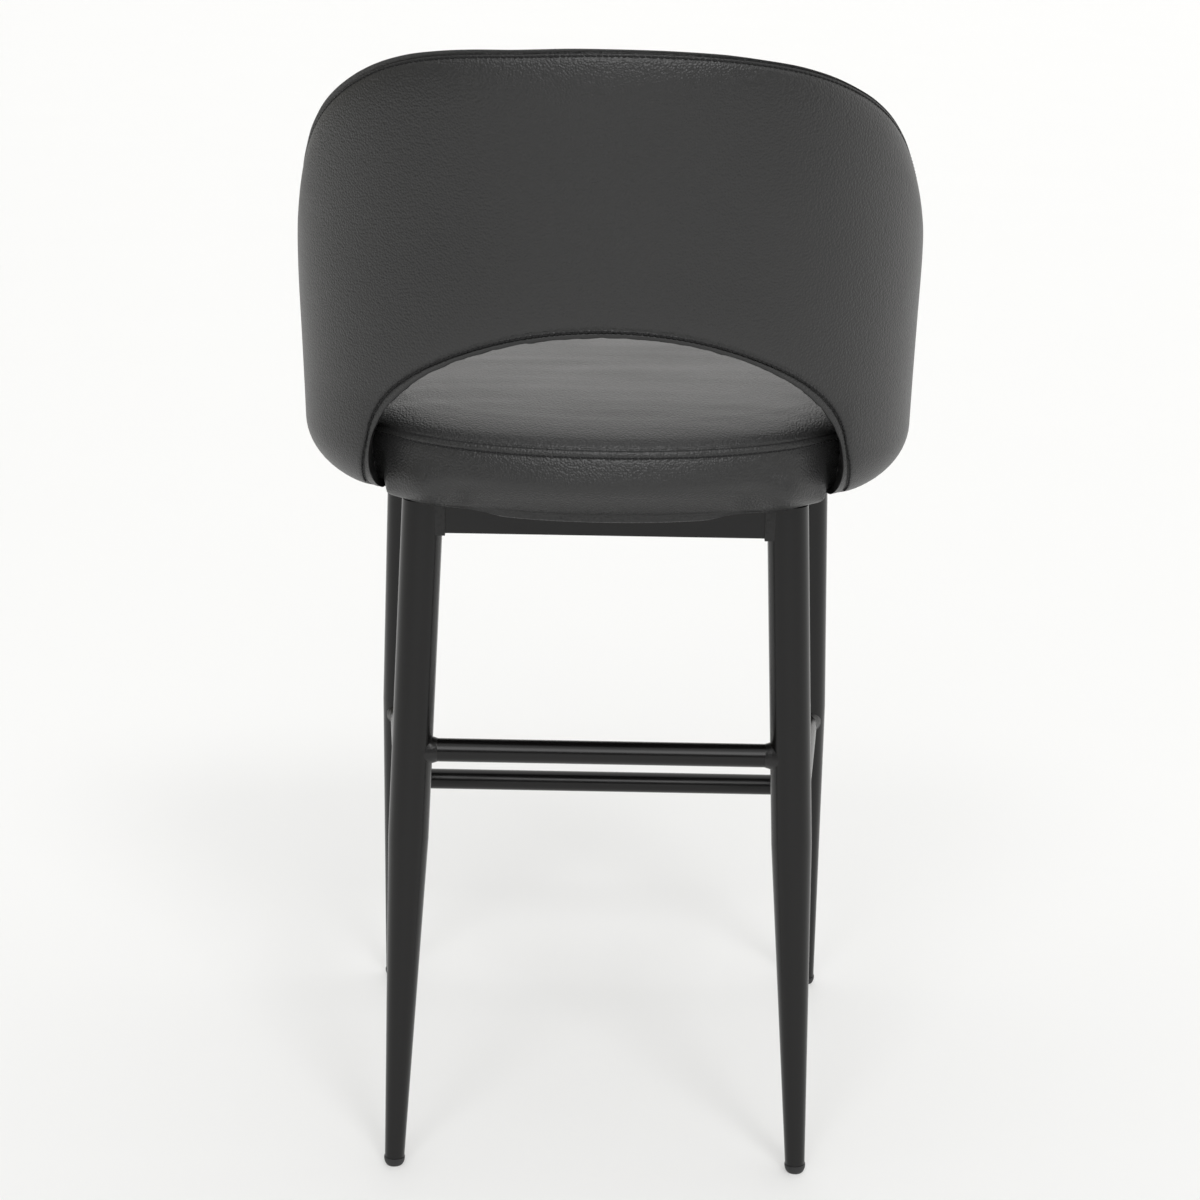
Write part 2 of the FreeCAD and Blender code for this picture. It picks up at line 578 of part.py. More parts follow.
def make_seat():
    bolt_holes = [vertical_pin(bolt_place(end, side), BOLT_RADIUS + HOLE_CLEARANCE, FRAME_TOP - 5,
                               BOARD_TOP + 5) for end, side in corners()]
    cloth = board_outline(DUST_COVER_INSET).extrude(Vec(0, 0, DUST_COVER))
    cloth.translate(Vec(0, 0, FRAME_TOP + CLOTH_GAP - BOARD_BOTTOM))
    save("dust_cover", cut_all(cloth, bolt_holes))
    nut_pockets = [tee_nut(end, side, 0.05) for end, side in corners()]
    screws = [bracket_screw(y, side) for y in BRACKET_PLACES for name, side in LEFT_RIGHT]
    board = board_outline(0.0).extrude(Vec(0, 0, BOARD_THICKNESS))
    save("seat_board", cut_all(board, bolt_holes + nut_pockets + screws))
    brackets = [bracket(y, side).cut(bracket_screw(y, side))
                for y in BRACKET_PLACES for name, side in LEFT_RIGHT]
    save("shell_brackets", brackets)
    save("bracket_screws", screws)
    rooms = [bracket_room(y, side) for y in BRACKET_PLACES for name, side in LEFT_RIGHT]
    nuts = [tee_nut(end, side, SOFT_GAP) for end, side in corners()]
    board_room = board_outline(-SOFT_GAP).extrude(Vec(0, 0, BOARD_THICKNESS + SOFT_GAP))
    under = SKIN + SOFT_GAP
    foam = seat_lower(under).fuse(seat_upper(under, under)).removeSplitter()
    save("seat_foam", cut_all(foam, [board_room] + rooms + nuts))
    save("seat_side_band", cut_all(seat_lower(0.0).cut(seat_lower(SKIN, 2.0)), rooms))
    top = seat_upper(0.0, 0.0).cut(seat_upper(SKIN, SKIN))
    save("seat_top_panel", top)
    return rooms


def make_tub(bracket_rooms):
    outer_cover = tub_layer(lambda t: 0.0, lambda t: SKIN)
    inner_cover = tub_layer(lambda t: t - SKIN, lambda t: t)
    outer_foam = tub_layer(lambda t: SKIN + SOFT_GAP, lambda t: OUTER_FOAM_SHARE * t)
    core = tub_layer(lambda t: OUTER_FOAM_SHARE * t + SOFT_GAP,
                     lambda t: (OUTER_FOAM_SHARE + CORE_SHARE) * t)
    inner_foam = tub_layer(lambda t: (OUTER_FOAM_SHARE + CORE_SHARE) * t + SOFT_GAP,
                           lambda t: t - SKIN - SOFT_GAP)
    facing = tub_layer(lambda t: 0.0, lambda t: t)
    under = SKIN + SOFT_GAP
    save("back_outer_cover", trimmed(outer_cover, under))
    save("back_inner_cover", cut_all(trimmed(inner_cover, under), bracket_rooms))
    save("back_outer_foam", trimmed(outer_foam, under))
    save("back_inner_foam", cut_all(trimmed(inner_foam, under), bracket_rooms))
    save("back_core", trimmed(core, CORE_EDGE_INSET))
    rim = trimmed(core, under)
    near = CORE_EDGE_INSET - SOFT_GAP
    rim = rim.cut(edge_outline(near).cut(arch_cutter(near)))
    save("back_edge_foam", rim.Solids)
    strip = trimmed(facing, 0.0).cut(edge_outline(SKIN).cut(arch_cutter(SKIN)))
    save("back_edge_facing", strip.Solids)


os.makedirs("parts", exist_ok=True)
make_frame()
make_tub(make_seat())
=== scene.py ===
import json
import math

import bpy
import numpy as np
from bpy.props import FloatProperty, FloatVectorProperty, IntProperty, PointerProperty
from mathutils import Matrix, Vector, noise


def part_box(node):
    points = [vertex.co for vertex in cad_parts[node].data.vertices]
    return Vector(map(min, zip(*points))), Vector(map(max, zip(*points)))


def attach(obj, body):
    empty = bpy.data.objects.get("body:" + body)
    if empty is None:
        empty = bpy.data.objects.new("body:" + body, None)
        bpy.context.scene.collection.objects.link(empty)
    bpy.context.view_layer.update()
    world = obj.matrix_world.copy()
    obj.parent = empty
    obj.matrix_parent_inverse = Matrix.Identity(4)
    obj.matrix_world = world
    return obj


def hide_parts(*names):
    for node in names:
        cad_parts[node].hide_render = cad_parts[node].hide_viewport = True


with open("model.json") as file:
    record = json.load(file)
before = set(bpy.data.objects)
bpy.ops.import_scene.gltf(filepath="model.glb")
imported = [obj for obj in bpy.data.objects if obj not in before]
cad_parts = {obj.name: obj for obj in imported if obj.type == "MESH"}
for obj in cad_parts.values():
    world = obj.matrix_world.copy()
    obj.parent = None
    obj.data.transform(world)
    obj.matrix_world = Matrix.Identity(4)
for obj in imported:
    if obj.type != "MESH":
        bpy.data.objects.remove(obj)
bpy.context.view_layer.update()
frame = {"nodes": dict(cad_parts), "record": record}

bl_info = {
    "name": "Tub-back bar stool",
    "version": (1, 0, 0),
    "blender": (4, 5, 0),
    "location": "3D View > Sidebar > Stool",
    "description": "Upholstery, stitching, finishes and stage for a tub-back bar stool",
    "category": "Object",
}

MM = 0.001
FRAME_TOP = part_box("leg_rear_left")[1].z
SHELL_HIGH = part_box("back_edge_facing")[1]
SEAT_LOW, SEAT_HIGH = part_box("seat_top_panel")
BAND_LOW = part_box("seat_side_band")[0]
NODES = frame["nodes"]


# ---- settings ------------------------------------------------------------------------------------

def length(name, default, description, low=0.0):
    return FloatProperty(name=name, description=description, default=default, min=low,
                         unit="LENGTH", subtype="DISTANCE", precision=4)


def hex_colour(code):
    """Linear RGBA of an sRGB hex colour."""
    out = []
    for i in (0, 2, 4):
        c = int(code[i:i + 2], 16) / 255.0
        out.append(c / 12.92 if c <= 0.04045 else ((c + 0.055) / 1.055) ** 2.4)
    return (*out, 1.0)


def colour(name, code, description):
    return FloatVectorProperty(name=name, description=description, default=hex_colour(code),
                               size=4, min=0.0, max=1.0, subtype="COLOR")


class StoolTubSettings(bpy.types.PropertyGroup):
    """Sizes of the upholstered tub back"""
    side_low: length("Side low", 0.2817, "Half width of the tub just above the seat")
    side_high: length("Side high", SHELL_HIGH.x, "Half width of the tub at its widest level")
    side_draw: length("Side draw", 0.003, "How far the side leans back in from there to the top")
    back_low: length("Rear face", 0.248, "Rear face of the tub at seat level")
    lean: length("Lean", 0.029, "How far the top of the back lies behind the rear face")
    centre_y: length("Plan centre", 0.020, "Where the rounded rear half of the plan begins")
    front_y: length("Arm front", -0.236, "Front of the arms", low=-1.0)
    plan_power: FloatProperty(name="Plan power", default=2.09, min=1.5, max=6.0,
                              description="Superellipse power of the rear half of the plan")
    tuck_height: length("Curl height", 0.054, "Height over which the lower edge curls under")
    tuck_side: length("Curl at the sides", 0.064, "How far the lower edge curls in at the sides")
    tuck_back: length("Curl at the rear", 0.0636, "How far it curls in at the rear")
    tuck_relief: length("Curl relief", 0.026, "Less curl towards the front")
    arch_half_width: length("Arch half width", 0.212, "Half width of the open arch")
    arch_height: length("Arch height", 0.130, "Height of the arch over its centre")
    rim_seam: length("Rim seam", 0.0030, "From the padded edge to the seam of its facing")
    rim_skew: length("Rim skew", 0.0024, "How much wider the facing is on the sitter's left")
    edge_roll: length("Edge roll", 0.0070, "How far the outer panel rolls in towards its top seam")
    fullness: length("Fullness", 0.0040, "How far the padding stands above the shell's edge")
    puff: length("Puff", 0.0028, "How far the outer panel stands out between its seams")
    lopsided: length("Lopsided", 0.0070, "How much fuller the shoulder is on the sitter's left")
    arch_seam_top: length("Arch seam, top", 0.0055, "Seam outside the arch at its crown")
    arch_seam_side: length("Arch seam, side", 0.0155, "Seam outside the arch at its sides")
    column: length("Mesh column", 0.0042, "Spacing of the mesh along the padded edge", low=0.001)


class StoolSeatSettings(bpy.types.PropertyGroup):
    """Sizes of the seat cushion"""
    back_y: length("Rear edge", SEAT_HIGH.y, "Rear edge of the seat at its seam")
    front_y: length("Front edge", BAND_LOW.y, "Front edge of the seat", low=-1.0)
    seam_z: length("Seam height", SEAT_LOW.z, "Floor to the seam round the top panel")
    crown: length("Crown", SEAT_HIGH.z - SEAT_LOW.z, "Rise of the seat's middle above the seam")
    swell: length("Swell", 0.0065, "How far the side band swells where nothing holds it")
    sag: length("Lower roll", 0.0035, "How far the lower roll hangs below the board")


class StoolStitchSettings(bpy.types.PropertyGroup):
    """Sizes of the topstitching"""
    pitch: length("Stitch pitch", 0.0050, "Distance from one stitch to the next", low=0.001)
    thread: length("Thread radius", 0.00075, "Radius of the sewing thread", low=0.0001)


class StoolColourSettings(bpy.types.PropertyGroup):
    """Colours of the finishes"""
    vinyl: colour("Vinyl", "272727", "Coated upholstery fabric")
    thread: colour("Thread", "0b0b0c", "Sewing thread")
    powder: colour("Powder coat", "080707", "Frame finish")
    floor: colour("Floor", "efefee", "Stage floor")


# ---- small helpers -------------------------------------------------------------------------------

def ramp(value, low, high):
    """Smooth step from 0 at low to 1 at high, for numbers and arrays."""
    t = np.clip((value - low) / (high - low), 0.0, 1.0)
    return t * t * (3.0 - 2.0 * t)


def spline_points(points, count):
    """Smooth open curve through points, evenly divided along its chords."""
    points = np.array(points, float)
    chord = np.concatenate([[0.0], np.cumsum(np.sqrt(np.linalg.norm(np.diff(points, axis=0), axis=1)))])
    n = len(points)
    h = np.diff(chord)
    system = np.eye(n)
    right = np.zeros_like(points)
    for i in range(1, n - 1):
        system[i, i - 1:i + 2] = h[i - 1], 2.0 * (h[i - 1] + h[i]), h[i]
        right[i] = 6.0 * ((points[i + 1] - points[i]) / h[i] - (points[i] - points[i - 1]) / h[i - 1])
    bend = np.linalg.solve(system, right)
    out = []
    for t in np.linspace(0.0, chord[-1], count):
        i = min(n - 2, int(np.searchsorted(chord, t, side="right")) - 1)
        a = (chord[i + 1] - t) / h[i]
        b = (t - chord[i]) / h[i]
        out.append(a * points[i] + b * points[i + 1]
                   + ((a ** 3 - a) * bend[i] + (b ** 3 - b) * bend[i + 1]) * h[i] ** 2 / 6.0)
    return np.array(out)


def grid_normals(grid, wrap_rows=False, wrap_cols=False):
    """Unit normals of a grid of points, rows by columns."""
    def slope(axis, wrap):
        if wrap:
            return np.roll(grid, -1, axis) - np.roll(grid, 1, axis)
        return np.gradient(grid, axis=axis)
    cross = np.cross(slope(1, wrap_cols), slope(0, wrap_rows))
    size = np.linalg.norm(cross, axis=2, keepdims=True)
    return cross / np.maximum(size, 1e-12)


def noise_field(points, scale, seed):
    """Smooth noise at points, from about -1 to 1; scale gives cycles per metre along X, Y and Z."""
    flat = points.reshape(-1, 3) * np.array(scale) + seed
    values = [noise.noise(Vector(p), noise_basis="PERLIN_ORIGINAL") for p in flat]
    return np.array(values).reshape(points.shape[:-1])


def grid_faces(rows, cols, wrap_rows=False, wrap_cols=False, start=0):
    """Quads of a grid of vertices numbered row by row."""
    faces = []
    for r in range(rows if wrap_rows else rows - 1):
        below = (r + 1) % rows
        for c in range(cols if wrap_cols else cols - 1):
            right = (c + 1) % cols
            faces.append((start + r * cols + c, start + r * cols + right,
                          start + below * cols + right, start + below * cols + c))
    return faces


def make_piece(name, vertices, faces, material, smooth=True):
    """Mesh object in the row frame with one material."""
    mesh = bpy.data.meshes.new(name)
    mesh.from_pydata([tuple(v) for v in vertices], [], faces)
    mesh.validate()
    mesh.polygons.foreach_set("use_smooth", [smooth] * len(mesh.polygons))
    mesh.materials.append(material)
    piece = bpy.data.objects.new(name, mesh)
    bpy.context.scene.collection.objects.link(piece)
    fix_normals(mesh)
    return piece


def fix_normals(mesh):
    """Point a closed mesh's faces outwards."""
    import bmesh
    work = bmesh.new()
    work.from_mesh(mesh)
    bmesh.ops.recalc_face_normals(work, faces=work.faces)
    if work.calc_volume(signed=True) < 0.0:
        bmesh.ops.reverse_faces(work, faces=work.faces)
    work.to_mesh(mesh)
    work.free()


# ---- materials -----------------------------------------------------------------------------------

def add_node(material, kind, settings=None, links=None):
    """Node with its socket or attribute settings and its incoming links."""
    node = material.node_tree.nodes.new(kind)
    for name, value in (settings or {}).items():
        if name in node.inputs:
            node.inputs[name].default_value = value
        else:
            setattr(node, name, value)
    for name, socket in (links or {}).items():
        material.node_tree.links.new(socket, node.inputs[name])
    return node


def new_material(name):
    material = bpy.data.materials.new(name)
    material.use_nodes = True
    material.node_tree.nodes.clear()
    return material


def finish_material(material, settings, links):
    shader = add_node(material, "ShaderNodeBsdfPrincipled", settings, links)
    add_node(material, "ShaderNodeOutputMaterial", None, {"Surface": shader.outputs["BSDF"]})
    return material


def blend_colours(material, factor, dark, light):
    """Colour ramp between two colours."""
    node = add_node(material, "ShaderNodeValToRGB", None, {"Fac": factor})
    node.color_ramp.elements[0].color = dark
    node.color_ramp.elements[1].color = light
    return node.outputs["Color"]


def shade(code, share):
    """A linear colour made darker or lighter by a share."""
    return (code[0] * share, code[1] * share, code[2] * share, 1.0)


def spread(material, value, low, high):
    """Value from 0 to 1 mapped to low to high."""
    node = add_node(material, "ShaderNodeMapRange", {"To Min": low, "To Max": high}, {"Value": value})
    return node.outputs["Result"]


def vinyl_material(colours):
    """Calendered PVC on a knitted backing, embossed with a fine pebble.
    The eye gets a soft satin highlight broken into grain. Pebbles are 2.1 mm, about twice the
    size of the real ones, so that they show."""
    m = new_material("embossed_vinyl")
    where = add_node(m, "ShaderNodeTexCoord").outputs["Object"]
    pebble = add_node(m, "ShaderNodeTexVoronoi", {"Scale": 1.0 / (2.1 * MM), "Randomness": 0.95},
                      {"Vector": where})
    fine = add_node(m, "ShaderNodeTexNoise", {"Scale": 1.0 / (2.2 * MM), "Detail": 3.0}, {"Vector": where})
    cloud = add_node(m, "ShaderNodeTexNoise", {"Scale": 9.0, "Detail": 4.0, "Roughness": 0.55},
                     {"Vector": where})
    base = blend_colours(m, cloud.outputs["Fac"], shade(colours.vinyl, 0.90), shade(colours.vinyl, 1.12))
    grain = add_node(m, "ShaderNodeBump", {"Strength": 0.85, "Distance": 0.6 * MM, "invert": True},
                     {"Height": pebble.outputs["Distance"]})
    skin = add_node(m, "ShaderNodeBump", {"Strength": 0.40, "Distance": 0.4 * MM},
                    {"Height": fine.outputs["Fac"], "Normal": grain.outputs["Normal"]})
    return finish_material(m, {"IOR": 1.5, "Coat Weight": 0.0},
                           {"Base Color": base,
                            "Roughness": spread(m, cloud.outputs["Fac"], 0.35, 0.45),
                            "Normal": skin.outputs["Normal"]})


def facing_material(colours):
    """The same vinyl cut on the bias for the narrow facing inside the arch, with creases about 4 mm apart. Its
    colour is the vinyl darkened and darkest in the creases: painted shade of the arch's inner face and of its
    creases."""
    m = new_material("gathered_vinyl")
    where = add_node(m, "ShaderNodeTexCoord").outputs["Object"]
    crease = add_node(m, "ShaderNodeTexNoise", {"Scale": 1.0 / (8.0 * MM), "Detail": 4.0, "Roughness": 0.6,
                                                "Distortion": 0.4}, {"Vector": where})
    # painted shade: the facing is a darker copy of the vinyl, darkest in the creases
    base = blend_colours(m, crease.outputs["Fac"], shade(colours.vinyl, 0.55), shade(colours.vinyl, 0.95))
    bump = add_node(m, "ShaderNodeBump", {"Strength": 0.5, "Distance": 0.8 * MM},
                    {"Height": crease.outputs["Fac"]})
    return finish_material(m, {"IOR": 1.5}, {"Base Color": base, "Normal": bump.outputs["Normal"],
                                             "Roughness": spread(m, crease.outputs["Fac"], 0.40, 0.56)})


def thread_material(colours):
    """Bonded polyester sewing thread, three plies twisted: dull black."""
    m = new_material("polyester_thread")
    where = add_node(m, "ShaderNodeTexCoord").outputs["Object"]
    ply = add_node(m, "ShaderNodeTexNoise", {"Scale": 1.0 / (0.6 * MM), "Detail": 2.0}, {"Vector": where})
    base = blend_colours(m, ply.outputs["Fac"], shade(colours.thread, 0.7), shade(colours.thread, 1.5))
    bump = add_node(m, "ShaderNodeBump", {"Strength": 0.6, "Distance": 0.1 * MM},
                    {"Height": ply.outputs["Fac"]})
    return finish_material(m, {"Roughness": 0.75, "IOR": 1.5},
                           {"Base Color": base, "Normal": bump.outputs["Normal"]})


def powder_material(colours):
    """Polyester powder baked on steel: satin black with a faint orange peel about 3 mm across."""
    m = new_material("powder_coated_steel")
    where = add_node(m, "ShaderNodeTexCoord").outputs["Object"]
    peel = add_node(m, "ShaderNodeTexNoise", {"Scale": 1.0 / (3.0 * MM), "Detail": 2.0}, {"Vector": where})
    cloud = add_node(m, "ShaderNodeTexNoise", {"Scale": 14.0, "Detail": 3.0}, {"Vector": where})
    base = blend_colours(m, cloud.outputs["Fac"], shade(colours.powder, 0.85), shade(colours.powder, 1.2))
    bump = add_node(m, "ShaderNodeBump", {"Strength": 0.22, "Distance": 0.08 * MM},
                    {"Height": peel.outputs["Fac"]})
    return finish_material(m, {"IOR": 1.42}, {"Base Color": base, "Normal": bump.outputs["Normal"],
                                              "Roughness": spread(m, cloud.outputs["Fac"], 0.20, 0.28)})


def weld_material(colours):
    """A coated weld bead: the same powder over ripples about 1.5 mm apart."""
    m = new_material("coated_weld")
    where = add_node(m, "ShaderNodeTexCoord").outputs["Object"]
    ripple = add_node(m, "ShaderNodeTexNoise", {"Scale": 1.0 / (4.0 * MM), "Detail": 3.0}, {"Vector": where})
    bump = add_node(m, "ShaderNodeBump", {"Strength": 0.8, "Distance": 0.8 * MM},
                    {"Height": ripple.outputs["Fac"]})
    base = blend_colours(m, ripple.outputs["Fac"], shade(colours.powder, 0.8), shade(colours.powder, 1.4))
    return finish_material(m, {"IOR": 1.5, "Roughness": 0.36}, {"Base Color": base,
                                                                "Normal": bump.outputs["Normal"]})


def moulded_material():
    """Injection-moulded black polyethylene of the foot caps, leg plugs and shell: matt, with a spark-eroded texture about 1 mm."""
    m = new_material("moulded_polyethylene")
    where = add_node(m, "ShaderNodeTexCoord").outputs["Object"]
    spark = add_node(m, "ShaderNodeTexNoise", {"Scale": 1.0 / (1.0 * MM), "Detail": 2.0}, {"Vector": where})
    scuff = add_node(m, "ShaderNodeTexNoise", {"Scale": 60.0, "Detail": 5.0, "Roughness": 0.7},
                     {"Vector": where})
    base = blend_colours(m, scuff.outputs["Fac"], hex_colour("161617"), hex_colour("2c2c2d"))
    bump = add_node(m, "ShaderNodeBump", {"Strength": 0.3, "Distance": 0.1 * MM},
                    {"Height": spark.outputs["Fac"]})
    return finish_material(m, {"IOR": 1.51}, {"Base Color": base, "Normal": bump.outputs["Normal"],
                                              "Roughness": spread(m, scuff.outputs["Fac"], 0.5, 0.65)})


def zinc_material():
    """Zinc-plated steel: bright, clouded where the passivation is uneven."""
    m = new_material("zinc_plated_steel")
    where = add_node(m, "ShaderNodeTexCoord").outputs["Object"]
    cloud = add_node(m, "ShaderNodeTexNoise", {"Scale": 120.0, "Detail": 4.0}, {"Vector": where})
    base = blend_colours(m, cloud.outputs["Fac"], hex_colour("8f918f"), hex_colour("c4c5c1"))
    return finish_material(m, {"Metallic": 1.0}, {"Base Color": base,
                                                  "Roughness": spread(m, cloud.outputs["Fac"], 0.28, 0.45)})


def plywood_material():
    """Rotary-cut birch plywood: pale, with long grain 8 mm across and fine pores."""
    m = new_material("birch_plywood")
    where = add_node(m, "ShaderNodeTexCoord").outputs["Object"]
    along = add_node(m, "ShaderNodeMapping", {"Scale": (125.0, 8.0, 125.0)}, {"Vector": where})
    grain = add_node(m, "ShaderNodeTexNoise", {"Scale": 1.0, "Detail": 5.0, "Roughness": 0.6},
                     {"Vector": along.outputs["Vector"]})
    base = blend_colours(m, grain.outputs["Fac"], hex_colour("b08b5c"), hex_colour("d8bd92"))
    bump = add_node(m, "ShaderNodeBump", {"Strength": 0.3, "Distance": 0.2 * MM},
                    {"Height": grain.outputs["Fac"]})
    return finish_material(m, {"IOR": 1.5, "Roughness": 0.62}, {"Base Color": base,
                                                                "Normal": bump.outputs["Normal"]})


def spunbond_material():
    """Spun-bonded polypropylene cloth: black, matt, with bond points 3 mm apart."""
    m = new_material("spunbond_cloth")
    where = add_node(m, "ShaderNodeTexCoord").outputs["Object"]
    points = add_node(m, "ShaderNodeTexVoronoi", {"Scale": 1.0 / (3.0 * MM), "Randomness": 0.15},
                      {"Vector": where})
    base = blend_colours(m, points.outputs["Distance"], hex_colour("0f0f10"), hex_colour("26262a"))
    bump = add_node(m, "ShaderNodeBump", {"Strength": 0.5, "Distance": 0.3 * MM},
                    {"Height": points.outputs["Distance"]})
    return finish_material(m, {"Roughness": 0.85, "IOR": 1.49, "Sheen Weight": 0.3},
                           {"Base Color": base, "Normal": bump.outputs["Normal"]})


def floor_material(colours):
    """Matt painted floor, near white, with mottling far too faint to draw the eye. It glows a
    little, as a white sweep does under light that comes from all round."""
    m = new_material("painted_floor")
    where = add_node(m, "ShaderNodeTexCoord").outputs["Object"]
    mottle = add_node(m, "ShaderNodeTexNoise", {"Scale": 2.0, "Detail": 3.0}, {"Vector": where})
    base = blend_colours(m, mottle.outputs["Fac"], shade(colours.floor, 0.70), shade(colours.floor, 0.71))
    return finish_material(m, {"Roughness": 0.6, "IOR": 1.45, "Emission Strength": 0.24,
                               "Emission Color": (1.0, 1.0, 0.99, 1.0)}, {"Base Color": base})


def material_named(name, maker, *details):
    """The material if it is already made, or a new one."""
    found = bpy.data.materials.get(name)
    return found if found else maker(*details)


# ---- shape of the tub ----------------------------------------------------------------------------

REAR_SHARE = 0.605           # share of the half plan taken by the rounded rear
ARM_SPLIT = -0.120           # the padded edge is followed by plan before here, by height after


class TubShape:
    """Outer and inner faces of the tub, by plan place w (0 rear, 1 arm front) and height."""

    def __init__(self, settings):
        s = settings
        self.s = s
        self.low = FRAME_TOP + 0.001
        self.curl_top = self.low + s.tuck_height
        self.arch_centre = FRAME_TOP + 0.040
        self.lean_start = FRAME_TOP + 0.100
        self.widest = FRAME_TOP + 0.240
        self.top = SHELL_HIGH.z
        arm = FRAME_TOP + 0.198
        slope = self.top - arm
        rise = arm - FRAME_TOP
        back = s.back_low
        front = s.front_y
        self.edge_marks = [
            (back + s.lean + 0.020, self.top + 0.006), (back + s.lean, self.top),
            (back - 0.005, arm + 0.945 * slope), (back - 0.043, arm + 0.853 * slope),
            (back - 0.105, arm + 0.659 * slope), (back - 0.160, arm + 0.433 * slope),
            (back - 0.238, arm + 0.175 * slope), (front + 0.146, arm),
            (front + 0.066, FRAME_TOP + 0.91 * rise), (front + 0.022, FRAME_TOP + 0.81 * rise),
            (front, FRAME_TOP + 0.58 * rise), (front + 0.004, FRAME_TOP + 0.31 * rise),
            (front + 0.034, FRAME_TOP - 0.008)]
        self.edge = spline_points(self.edge_marks, 1600)

    # heights are unrolled along the curled lower edge, so that rows stay evenly spaced
    def unroll(self, z):
        fall = np.clip((self.curl_top - z) / self.s.tuck_height, 0.0, 1.0)
        curl = 0.5 * (self.s.tuck_height + self.s.tuck_side) * 1.57 * np.arcsin(fall) / (math.pi / 2)
        return np.where(z >= self.curl_top, z - self.curl_top, -curl)

    def roll(self, t):
        full = 0.5 * (self.s.tuck_height + self.s.tuck_side) * 1.57
        beta = np.clip(-t / full, 0.0, 1.0) * math.pi / 2
        return np.where(t >= 0.0, self.curl_top + t, self.curl_top - self.s.tuck_height * np.sin(beta))

    def tuck(self, z):
        fall = np.clip((self.curl_top - z) / self.s.tuck_height, 0.0, 1.0)
        return 1.0 - np.sqrt(np.maximum(0.0, 1.0 - fall ** 2))

    def side(self, z, y):
        s = self.s
        out = s.side_low + (s.side_high - s.side_low) * ramp(z, self.arch_centre, self.widest)
        relief = s.tuck_relief * ramp(s.centre_y - y, 0.0, 0.150)
        above = np.maximum(0.0, z - self.widest) / (self.top - self.widest)
        return out - s.side_draw * above - (s.tuck_side - relief) * self.tuck(z)

    def back(self, z):
        s = self.s
        lean = s.lean * np.maximum(0.0, z - self.lean_start) / (self.top - self.lean_start)
        return s.back_low + lean - s.tuck_back * self.tuck(z)

    def wall_side(self, z):
        return 0.012 + 0.018 * ramp(z, self.low, self.low + 0.040)

    def wall_back(self, z):
        low = 0.012 + 0.004 * ramp(z, self.low, self.low + 0.025)
        return low + 0.014 * ramp(z, FRAME_TOP + 0.090, FRAME_TOP + 0.188)

    def point(self, w, z, depth):
        """Point at plan place w and height z; depth is 0 on the outer face, 1 on the inner one."""
        s = self.s
        w, z, depth = np.broadcast_arrays(np.asarray(w, float), np.asarray(z, float),
                                          np.asarray(depth, float))
        turn = np.minimum(w / REAR_SHARE, 1.0) * math.pi / 2
        arm_y = s.centre_y - np.maximum(w - REAR_SHARE, 0.0) / (1.0 - REAR_SHARE) * self.arm_run()
        half = self.side(z, arm_y) - depth * self.wall_side(z)
        back = self.back(z) - depth * self.wall_back(z)
        power = 2.0 / s.plan_power
        x = half * np.where(w < REAR_SHARE, np.sin(turn) ** power, 1.0)
        y = np.where(w < REAR_SHARE,
                     s.centre_y + (back - s.centre_y) * np.maximum(np.cos(turn), 0.0) ** power, arm_y)
        return np.stack([x, y, z], axis=-1)

    def arm_run(self):
        return self.s.centre_y - self.s.front_y + 0.008

    def place_at_x(self, x, z, depth):
        half = self.side(z, self.s.centre_y) - depth * self.wall_side(z)
        share = np.clip(x / half, 0.0, 1.0) ** (self.s.plan_power / 2.0)
        return REAR_SHARE * np.arcsin(share) * 2.0 / math.pi

    def place_at_y(self, y, z, depth):
        s = self.s
        back = self.back(z) - depth * self.wall_back(z)
        share = np.clip((y - s.centre_y) / (back - s.centre_y), 0.0, 1.0) ** (s.plan_power / 2.0)
        rear = REAR_SHARE * np.arccos(share) * 2.0 / math.pi
        arm = REAR_SHARE + (1.0 - REAR_SHARE) * (s.centre_y - y) / self.arm_run()
        return np.where(y >= s.centre_y, rear, arm)

    def moved_edge(self, inset):
        run = np.gradient(self.edge, axis=0)
        run /= np.linalg.norm(run, axis=1, keepdims=True)
        return self.edge + inset * np.stack([-run[:, 1], run[:, 0]], axis=1)

    def upper(self, u, depth, inset):
        """Padded edge moved in by inset: u is 0 at the rear centre, 1 at the arm's lower front."""
        edge = self.moved_edge(inset)
        split = 0.62
        stop = int(np.argmax(edge[:, 0] < ARM_SPLIT))
        w_split = REAR_SHARE + (1.0 - REAR_SHARE) * (self.s.centre_y - ARM_SPLIT) / self.arm_run()
        w = w_split * np.minimum(u / split, 1.0)
        z = np.full_like(w, self.top)
        order = np.argsort(edge[:stop, 0])
        for _ in range(12):
            y = self.point(w, z, depth)[..., 1]
            z = np.interp(y, edge[:stop, 0][order], edge[:stop, 1][order])
        tail = edge[stop - 1:]
        last = int(np.argmax(tail[:, 1] < self.low))
        tail = tail[:last + 1].copy()
        share = (self.low - tail[-2, 1]) / (tail[-1, 1] - tail[-2, 1])
        tail[-1] = tail[-2] + share * (tail[-1] - tail[-2])
        run = np.concatenate([[0.0], np.cumsum(np.linalg.norm(np.diff(tail, axis=0), axis=1))])
        at = np.clip((u - split) / (1.0 - split), 0.0, 1.0) * run[-1]
        tail_y = np.interp(at, run, tail[:, 0])
        tail_z = np.interp(at, run, tail[:, 1])
        front = u > split
        return (np.where(front, self.place_at_y(tail_y, tail_z, depth), w),
                np.where(front, tail_z, z))

